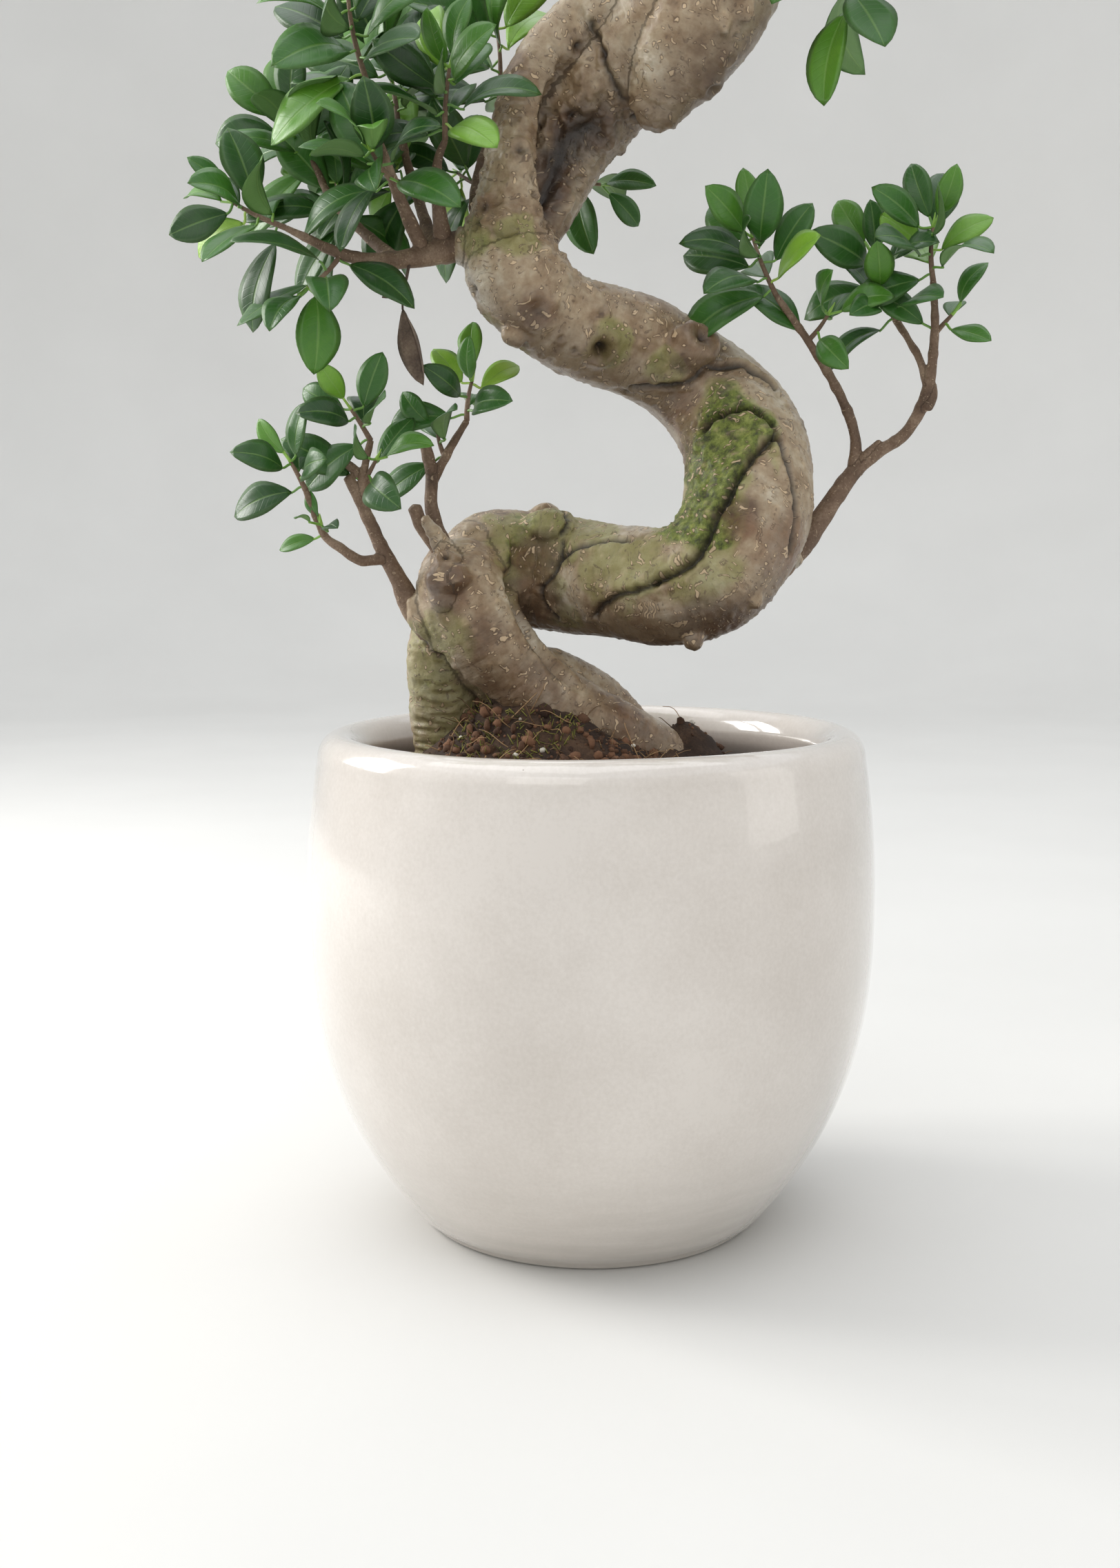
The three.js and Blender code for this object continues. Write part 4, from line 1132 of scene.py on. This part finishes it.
def make_branch(name, limbs):
    wood = Sheaf()
    shoots = [*limbs, *(stations for owner, stations in STUBS if owner == name)]
    lines = [smooth_line(stations, BRANCH_STEP) for stations in shoots]
    for line in lines:
        wood.add(*tube(line, BRANCH_SIDES))
    branch = wood.piece(name + "_wood", TWIG)
    grown_together(branch, BRANCH_GRAIN, 4)
    mesh = branch.data
    points, outward = corners(mesh), corners(mesh, "normal")
    straight = straightened(points, lines)
    girth = np.linalg.norm(straight[:, :2], axis=1)
    rings = lumps(straight * (0.05, 0.05, 1), 4.5 * MM, 7)
    push = 0.45 * np.maximum(rings, 0.1) ** 1.5 + 0.35 * lumps(points, 5 * MM, 8)
    push += 0.35 * smoothstep(2.5 * MM, 6 * MM, girth) * lumps(straight * (1, 1, 0.3), 3.5 * MM, 11)
    move_corners(mesh, points + outward * (push * MM)[:, None])
    write_mark(mesh, "straight", straight)
    return own(branch, "branch_bark", name)


# ---------------------------------------------------------------- leaves

ALONG = np.linspace(0, 1, 14)[1:-1]
ACROSS = np.array([-1, -0.66, -0.3, 0, 0.3, 0.66, 1])
BLADE_THICKNESS = 0.3 * MM


def blade_faces():
    """The faces of any blade, whose corners are its foot, the upper rows, the lower rows and its tip."""
    rows, columns = len(ALONG), len(ACROSS)
    tip = 1 + rows * (2 * columns - 2)

    def upper(row, column):
        return 1 + row * columns + column

    def lower(row, column):
        if column in (0, columns - 1):
            return upper(row, column)
        return rows * columns + row * (columns - 2) + column

    faces = []
    for left in range(columns - 1):
        right = left + 1
        for row in range(rows - 1):
            cells = (row, left), (row, right), (row + 1, right), (row + 1, left)
            faces.append(tuple(upper(*cell) for cell in cells))
            faces.append(tuple(lower(*cell) for cell in (cells[0], *cells[:0:-1])))
        faces.append((0, upper(0, right), upper(0, left)))
        faces.append((0, lower(0, left), lower(0, right)))
        faces.append((tip, upper(rows - 1, left), upper(rows - 1, right)))
        faces.append((tip, lower(rows - 1, right), lower(rows - 1, left)))
    return faces


def blade_marks():
    """What each corner of a blade carries: its place across and along, and how far it is underneath."""
    rows, inner = len(ALONG), ACROSS[1:-1]
    edges = np.where(np.abs(ACROSS) == 1, 0.5, 0.0)
    return {
        "across": np.concatenate([[0], np.tile(ACROSS, rows), np.tile(inner, rows), [0]]),
        "along": np.concatenate([[0], np.repeat(ALONG, len(ACROSS)), np.repeat(ALONG, len(inner)), [1]]),
        "under": np.concatenate([[0.3], np.tile(edges, rows), np.ones(rows * len(inner)), [0.4]]),
    }


BLADE_FACES = blade_faces()
BLADE_MARKS = blade_marks()


def add_blade(foliage, foot, tip, width, bow, face, youth, chance, fold=None):
    """A closed, folded and bowed leaf blade from foot to tip, whose upper side looks towards face."""
    foot, tip, face = (np.array(v, float) for v in (foot, tip, face))
    length = np.linalg.norm(tip - foot)
    axis = (tip - foot) / length
    side = unit(np.cross(axis, face))
    above = np.cross(side, axis)
    fold = chance.uniform(0.18, 0.42) if fold is None else fold
    twist = chance.uniform(-0.35, 0.35)
    lean = chance.uniform(0.85, 1.1)
    share = np.concatenate([[0], ALONG, [1]])
    rise = bow * length * 4 * (share**lean) * (1 - share**lean)
    spine = foot + np.outer(share * length, axis) + np.outer(rise, above)
    ahead = unit(np.gradient(spine, axis=0))
    spin = (share - 0.4) * twist
    sides = side * np.cos(spin)[:, None] + above * np.sin(spin)[:, None]
    sides = unit(sides - ahead * np.sum(sides * ahead, axis=1)[:, None])
    normals = np.cross(sides, ahead)
    half = width / 2 * np.sin(np.pi * share**1.12) ** 0.72
    ripple = np.sin(share * 9 + chance.uniform(0, 6)) * 0.05
    rows = slice(1, -1)
    height = half[rows, None] * (
        fold * np.abs(ACROSS) - 0.2 * ACROSS**2 + ripple[rows, None] * np.sign(ACROSS) * ACROSS**2
    )
    top = spine[rows, None] + sides[rows, None] * (half[rows, None] * ACROSS)[..., None]
    top = top + normals[rows, None] * height[..., None]
    depth = BLADE_THICKNESS * np.where(np.abs(ACROSS[1:-1]) < 0.1, 2.2, 0.8)
    bottom = top[:, 1:-1] - normals[rows, None] * depth[None, :, None]
    points = np.concatenate([[spine[0]], top.reshape(-1, 3), bottom.reshape(-1, 3), [spine[-1]]])
    foliage.add(points, BLADE_FACES, **BLADE_MARKS, youth=youth)


def curved_path(start, leave, arrive, end, thick, thin, steps):
    """A bent line from start to end, with its radius easing from thick to thin."""
    reach = np.linalg.norm(end - start) * 0.38
    handles = start, start + leave * reach, end - arrive * reach, end
    rows = []
    for s in np.linspace(0, 1, steps):
        weights = (1 - s) ** 3, 3 * s * (1 - s) ** 2, 3 * s * s * (1 - s), s**3
        rows.append([*sum(w * h for w, h in zip(weights, handles)), thick + (thin - thick) * s])
    return np.array(rows)


STALK = 0.65 * MM  # a leaf stalk's radius
LEAF_CLEARANCE = 7 * MM  # between a leaf and the trunk
LEAF_TRIES = 8  # turns that a leaf tries before it is left out
FIRST_LEAF_SEED = 100
TWIG_THICK, TWIG_THIN = 1.5 * MM, 0.9 * MM  # a leafy twig's radius at its foot and its tip


def add_stalk(foliage, wood, foot, axis, youth):
    """Joins a leaf to the nearest point of its twig with a green stalk."""
    near = int(np.linalg.norm(wood[:, :3] - foot, axis=1).argmin())
    start = wood[near, :3]
    leave = unit(wood[min(near + 1, len(wood) - 1), :3] - start + unit(foot - start) * MM)
    line = curved_path(start, leave, axis, foot + axis * MM, STALK * 1.15, STALK, 6)
    foliage.add(*tube(line, 6), 0, youth=min(1.0, youth + 0.3), along=0.0, across=0.0)


def make_foliage(name, spray, wood_tree, seed):
    """A twig with leaves set round it by the golden turn, largest and leaning out furthest at its foot."""
    branch, limb, share, direction, leaves, size = spray
    chance = random.Random(seed)
    foliage = Sheaf()
    place = smooth_line(BRANCH_ROUTES[branch][limb])
    start = place[round(share * (len(place) - 1)), :3]
    along = unit(np.array(direction, float))
    across = unit(np.cross(along, (0.2, 1, 0.1)))
    reach = (12 + 1.5 * leaves) * MM * size
    bend = unit(along + 0.35 * np.array([chance.uniform(-1, 1), chance.uniform(-1, 1), 0.6]))
    twig = curved_path(start, along, bend, start + unit(along + bend) * reach, TWIG_THICK, TWIG_THIN, 12)
    foliage.add(*tube(twig, 8), 1, youth=0.0)
    bud = curved_path(twig[-1, :3], bend, bend, twig[-1, :3] + bend * 7 * MM, 1.1 * MM, 0.25 * MM, 5)
    foliage.add(*tube(bud, 6), 0, youth=0.85, across=0.0)
    for leaf in range(leaves):
        step = leaf / (leaves - 1)
        node = twig[round((0.08 + 0.9 * step) * (len(twig) - 1)), :3]
        lean = 1.5 - 1.1 * step + chance.uniform(-0.15, 0.15)
        growth = (1.1 - 0.35 * step) * size * chance.uniform(0.82, 1.12)
        for attempt in range(LEAF_TRIES):
            turn = GOLDEN_TURN * leaf + attempt * 0.7
            outward = across * math.cos(turn) + np.cross(along, across) * math.sin(turn)
            heading = unit(along * math.cos(lean) + outward * math.sin(lean))
            heading = unit(heading + (0, 0, -0.3 * growth * chance.random()))
            foot = node + heading * chance.uniform(5, 9) * MM
            tip = foot + heading * LEAF_LENGTH * growth
            spots = (foot, (foot + tip) / 2, tip)
            if all(wood_tree.find_nearest(Vector(spot))[3] > LEAF_CLEARANCE for spot in spots):
                break
        else:
            continue
        wander = np.array([chance.uniform(-0.35, 0.35) for _ in range(3)])
        face = LIGHT_SIDE + 0.5 * outward + wander
        youth = min(1.0, max(0.0, chance.gauss(0.16, 0.12) + 0.8 * max(0, step - 0.7)))
        if chance.random() < 0.08:
            youth = chance.uniform(0.6, 0.9)
        width = LEAF_LENGTH * growth * chance.uniform(0.46, 0.6)
        add_blade(foliage, foot, tip, width, chance.uniform(0.05, 0.22), face, youth, chance)
        add_stalk(foliage, twig, foot, heading, youth)
    piece = foliage.piece(name + "_foliage", LEAF, TWIG)
    return own(piece, "leaf", name + "_leaves")


# The withered leaf's twig, its side spur and its stalk, as stations, then its foot and tip.
DEAD_TWIG = [(-90, -22, 252, 0.9), (-91, -24, 246, 0.8), (-93, -27, 237, 0.8), (-96, -27, 233, 0.7)]
DEAD_SPUR = [(-95, -27, 234, 0.8), (-100, -28, 231, 0.7), (-104, -28, 231, 0.5)]
DEAD_STALK = [(-93, -27, 236, 0.7), (-94, -27, 231, 0.6), (-94, -27, 225, 0.6)]
DEAD_FOOT, DEAD_TIP = (-94, -27, 226), (-84, -26, 188)
DEAD_LEAF_SEED = 5


def make_dead_leaf():
    foliage = Sheaf()
    for stations, sides in ((DEAD_TWIG, 7), (DEAD_SPUR, 6), (DEAD_STALK, 6)):
        foliage.add(*tube(smooth_line(stations, 2 * MM), sides), 0, across=0.0)
    foot, tip = (np.array(place) * MM + (0, 0, SOIL_LEVEL) for place in (DEAD_FOOT, DEAD_TIP))
    chance = random.Random(DEAD_LEAF_SEED)
    add_blade(foliage, foot, tip, 17 * MM, -0.07, (-0.75, -0.7, 0.1), 0.0, chance, fold=0.85)
    piece = foliage.piece("withered_leaf", DEAD_LEAF)
    return own(piece, "dead_leaf", "dead_leaf")


# ---------------------------------------------------------------- soil

SOIL_GAP = 0.3 * MM  # between the soil and the pot
SOIL_GRID = 104  # corners along each side of the soil's top
SOIL_RINGS = 9  # below its edge
POT_MARGIN, WOOD_MARGIN = 4 * MM, 2 * MM  # what lies on the soil keeps this far away
LITTER_SEED = 11

# Where the soil is piled against the roots: [x, y, reach, rise].
HEAPS = [(-40, -14, 24, 20), (2, -26, 30, 15), (54, 10, 22, 22), (-66, 4, 22, 8), (20, 24, 26, 10)]


def soil_height(x, y):
    away = np.hypot(x - MOUND_CENTRE[0], y - MOUND_CENTRE[1]) / MOUND_WIDTH
    height = SOIL_EDGE + MOUND_RISE * np.exp(-away**2)
    for centre_x, centre_y, reach, rise in HEAPS:
        heap = np.hypot(x - centre_x * MM, y - centre_y * MM) / (reach * MM)
        height += rise * MM * np.exp(-heap**2)
    spots = np.stack([x, y, np.zeros_like(x)], axis=-1).reshape(-1, 3)
    rough = 2.6 * lumps(spots, 21 * MM, 21) + 1.6 * lumps(spots, 8 * MM, 22)
    rough += 0.9 * lumps(spots, 3.6 * MM, 23)
    return height + rough.reshape(x.shape) * MM


def make_soil():
    """A square grid drawn into a disc for the top, then rings down the inside of the pot."""
    count = SOIL_GRID
    steps = np.linspace(-1, 1, count)
    u, v = np.meshgrid(steps, steps, indexing="ij")
    x = u * np.sqrt(1 - v * v / 2)
    y = v * np.sqrt(1 - u * u / 2)
    rim = inner_radius(SOIL_EDGE) - SOIL_GAP
    x, y = x * rim, y * rim
    z = soil_height(x, y)
    points = np.stack([x, y, z], axis=-1).reshape(-1, 3)
    faces = []
    for i in range(count - 1):
        for j in range(count - 1):
            a = i * count + j
            faces.append((a, a + count, a + count + 1, a + 1))
    edge = [i * count for i in range(count)] + [(count - 1) * count + j for j in range(1, count)]
    edge += [i * count + count - 1 for i in range(count - 2, -1, -1)] + list(range(count - 2, 0, -1))
    ring, points = list(edge), list(points)
    for height in np.linspace(SOIL_EDGE - 4 * MM, FLOOR_THICKNESS + SOIL_GAP, SOIL_RINGS):
        radius = inner_radius(height) - SOIL_GAP
        below = []
        for corner in edge:
            out = points[corner][:2] / np.linalg.norm(points[corner][:2]) * radius
            below.append(len(points))
            points.append(np.array([out[0], out[1], height]))
        for i in range(len(ring)):
            after = (i + 1) % len(ring)
            faces.append((ring[after], ring[i], below[i], below[after]))
        ring = below
    points.append(np.array([0, 0, FLOOR_THICKNESS + SOIL_GAP]))
    for i in range(len(ring)):
        faces.append((ring[(i + 1) % len(ring)], ring[i], len(points) - 1))
    bed = Sheaf()
    bed.add(np.array(points), faces)
    return own(bed.piece("potting_soil", SOIL), "soil", "soil")


def scatter(chance, count, spread, centre, wood_tree):
    """Places on the open soil, clear of the wood."""
    places = []
    while len(places) < count:
        turn, away = chance.uniform(0, 2 * math.pi), math.sqrt(chance.random()) * spread
        x, y = centre[0] + math.cos(turn) * away, centre[1] + math.sin(turn) * away
        if math.hypot(x, y) > inner_radius(SOIL_EDGE) - POT_MARGIN:
            continue
        z = float(soil_height(np.array([x]), np.array([y]))[0])
        spot, normal, _, gap = wood_tree.find_nearest(Vector((x, y, z)))
        if gap < WOOD_MARGIN or (Vector((x, y, z)) - spot).dot(normal) < 0:
            continue
        places.append(np.array([x, y, z]))
    return places


def roughened(points, middle, grain, seed, rise):
    """Pushes a lump's corners in and out from its middle."""
    return points + unit(points - middle) * (lumps(points, grain, seed) * rise)[:, None]


def some_way(chance, low, high):
    """A random heading whose upward part lies between low and high."""
    return np.array([chance.uniform(-1, 1), chance.uniform(-1, 1), chance.uniform(low, high)])


def crumbs(chance, places):
    """Small rough lumps of soil, most of them fine."""
    sheaf = Sheaf()
    for place in places:
        size = (0.7 + 2.6 * chance.random() ** 2.5) * MM
        radii = np.array([size * chance.uniform(0.7, 1.3) for _ in range(3)])
        points, faces = ball(place, radii, 4, 6)
        sheaf.add(roughened(points, place, 1.6 * MM, 31, size * 0.45), faces, tone=chance.random())
    return sheaf


def grit(chance, places):
    """Rough pale stones, a little flattened."""
    sheaf = Sheaf()
    for place in places:
        size = chance.uniform(0.7, 1.9) * MM
        points, faces = ball(place + (0, 0, size * 0.4), np.array([size, size * 0.8, size * 0.7]), 5, 7)
        sheaf.add(roughened(points, place, 1.2 * MM, 32, size * 0.4), faces, tone=chance.random())
    return sheaf


def fibres(chance, places):
    """Thin bent threads of root that lie on the soil or stand a little out of it."""
    sheaf = Sheaf()
    for place in places:
        heading = some_way(chance, -0.1, 0.5)
        length = chance.uniform(6, 24) * MM
        other = unit(heading + [chance.uniform(-1, 1), chance.uniform(-1, 1), -0.5])
        end = place + unit(heading) * length + (0, 0, 1.5 * MM)
        line = curved_path(place, unit(heading), other, end, 0.3 * MM, 0.16 * MM, 7)
        sheaf.add(*tube(line, 5), tone=chance.random())
    return sheaf


def moss_threads(chance, places):
    """Short threads that lean every way but down."""
    sheaf = Sheaf()
    for place in places:
        ahead = unit(some_way(chance, 0.2, 1.2))
        end = place + ahead * chance.uniform(2, 6) * MM
        line = curved_path(place, ahead, ahead, end, 0.4 * MM, 0.15 * MM, 4)
        sheaf.add(*tube(line, 4), tone=chance.random())
    return sheaf


# What lies on the soil: [piece, maker, finish, where], and where is [count, spread, centre].
ALL_OVER, BY_THE_ROOTS, UNDER_THE_KNUCKLE = (0, 0), (-20, 0), (-36, -16)
LITTER = [
    ("soil_crumbs", crumbs, CRUMB, [(900, 118, ALL_OVER), (500, 60, BY_THE_ROOTS)]),
    ("soil_grit", grit, GRIT, [(46, 105, ALL_OVER)]),
    ("soil_fibres", fibres, FIBRE, [(150, 70, BY_THE_ROOTS), (60, 110, ALL_OVER)]),
    ("soil_moss", moss_threads, MOSS, [(260, 34, UNDER_THE_KNUCKLE)]),
]


def make_litter(wood_tree):
    chance = random.Random(LITTER_SEED)
    for name, maker, finish, spreads in LITTER:
        places = []
        for count, spread, centre in spreads:
            places += scatter(chance, count, spread * MM, np.array(centre) * MM, wood_tree)
        own(maker(chance, places).piece(name, finish), "soil")


# ---------------------------------------------------------------- assembly

make_pot()
trunk = make_trunk()
wood_tree = surface_tree(trunk)
make_soil()
make_litter(wood_tree)
for name, limbs in BRANCH_ROUTES.items():
    make_branch(name, limbs)
for seed, (name, spray) in enumerate(SPRAYS.items(), FIRST_LEAF_SEED):
    make_foliage(name, spray, wood_tree, seed)
make_dead_leaf()

# ---------------------------------------------------------------- studio

FLOOR_FLAT = 2.8  # how far out the floor stays level
FLOOR_BEND = 1.2  # the radius of the curve from the floor up into the wall
WALL_TOP = 3.4


def make_studio():
    """A round floor that curves up into a plain wall, further out than any view is taken from."""
    turns = np.linspace(0, math.pi / 2, 9)
    bend = [(FLOOR_FLAT + FLOOR_BEND * math.sin(turn), FLOOR_BEND * (1 - math.cos(turn))) for turn in turns]
    floor = Sheaf()
    floor.add(*turned([(0, 0), (0.3, 0), (1.2, 0), *bend, (FLOOR_FLAT + FLOOR_BEND, WALL_TOP)], 96))
    pale, recipe, surface = new_finish("pale floor", roughness=0.85)
    tone = recipe.noise(recipe.place(), 3.0, 3.0, 0.5)
    colour = recipe.ramp(tone, (0.3, shade(214, 213, 210)), (0.7, shade(218, 217, 214)))
    recipe.feed(surface["Base Color"], colour)
    floor.piece("studio_floor", pale)


def add_light(name, place, aim, width, height, power, colour):
    light = bpy.data.lights.new(name, "AREA")
    light.shape = "RECTANGLE"
    light.size, light.size_y = width, height
    light.energy = power
    light.color = colour
    lamp = bpy.data.objects.new(name, light)
    bpy.context.scene.collection.objects.link(lamp)
    lamp.location = place
    lamp.rotation_euler = (Vector(aim) - Vector(place)).to_track_quat("-Z", "Y").to_euler()


def light_studio():
    world = bpy.data.worlds.new("studio")
    bpy.context.scene.world = world
    world.use_nodes = True
    back = world.node_tree.nodes["Background"]
    back.inputs["Color"].default_value = (0.93, 0.96, 1, 1)
    back.inputs["Strength"].default_value = 0.95
    middle = (0, 0, 0.35)
    for column, row in itertools.product((0, 1), (0, 1)):
        place = (-1.7 - 0.12 * column, 0.7 - 0.52 * column, 0.85 + 0.6 * row)
        add_light(f"window_pane_{column}{row}", place, (0, 0, 0.45), 0.44, 0.52, 7, (1, 0.985, 0.96))
    add_light("soft_front", (-0.7, -2.2, 1.6), middle, 1.4, 1.2, 5.5, (1, 0.98, 0.95))
    add_light("soft_right", (2.1, -0.6, 0.9), middle, 1.0, 1.4, 3, (1, 0.97, 0.93))
    add_light("soft_top", (-0.2, 0.2, 3.0), middle, 3.0, 3.0, 26, (1, 1, 1))
    view = bpy.context.scene.view_settings
    view.view_transform = "Standard"
    view.look = "None"
    view.exposure = 0.17


LENS, SENSOR = 41.2, 36  # millimetres
CAMERA_PLACE = (0, -0.943, 0.365)
CAMERA_DIP, CAMERA_TURN = math.radians(7.99), math.radians(0.98)


def set_camera():
    lens = bpy.data.cameras.new("camera")
    lens.sensor_width = SENSOR
    lens.lens = LENS
    camera = bpy.data.objects.new("camera", lens)
    bpy.context.scene.collection.objects.link(camera)
    camera.location = CAMERA_PLACE
    camera.rotation_euler = (math.pi / 2 - CAMERA_DIP, 0, CAMERA_TURN)
    bpy.context.scene.camera = camera


make_studio()
light_studio()
set_camera()
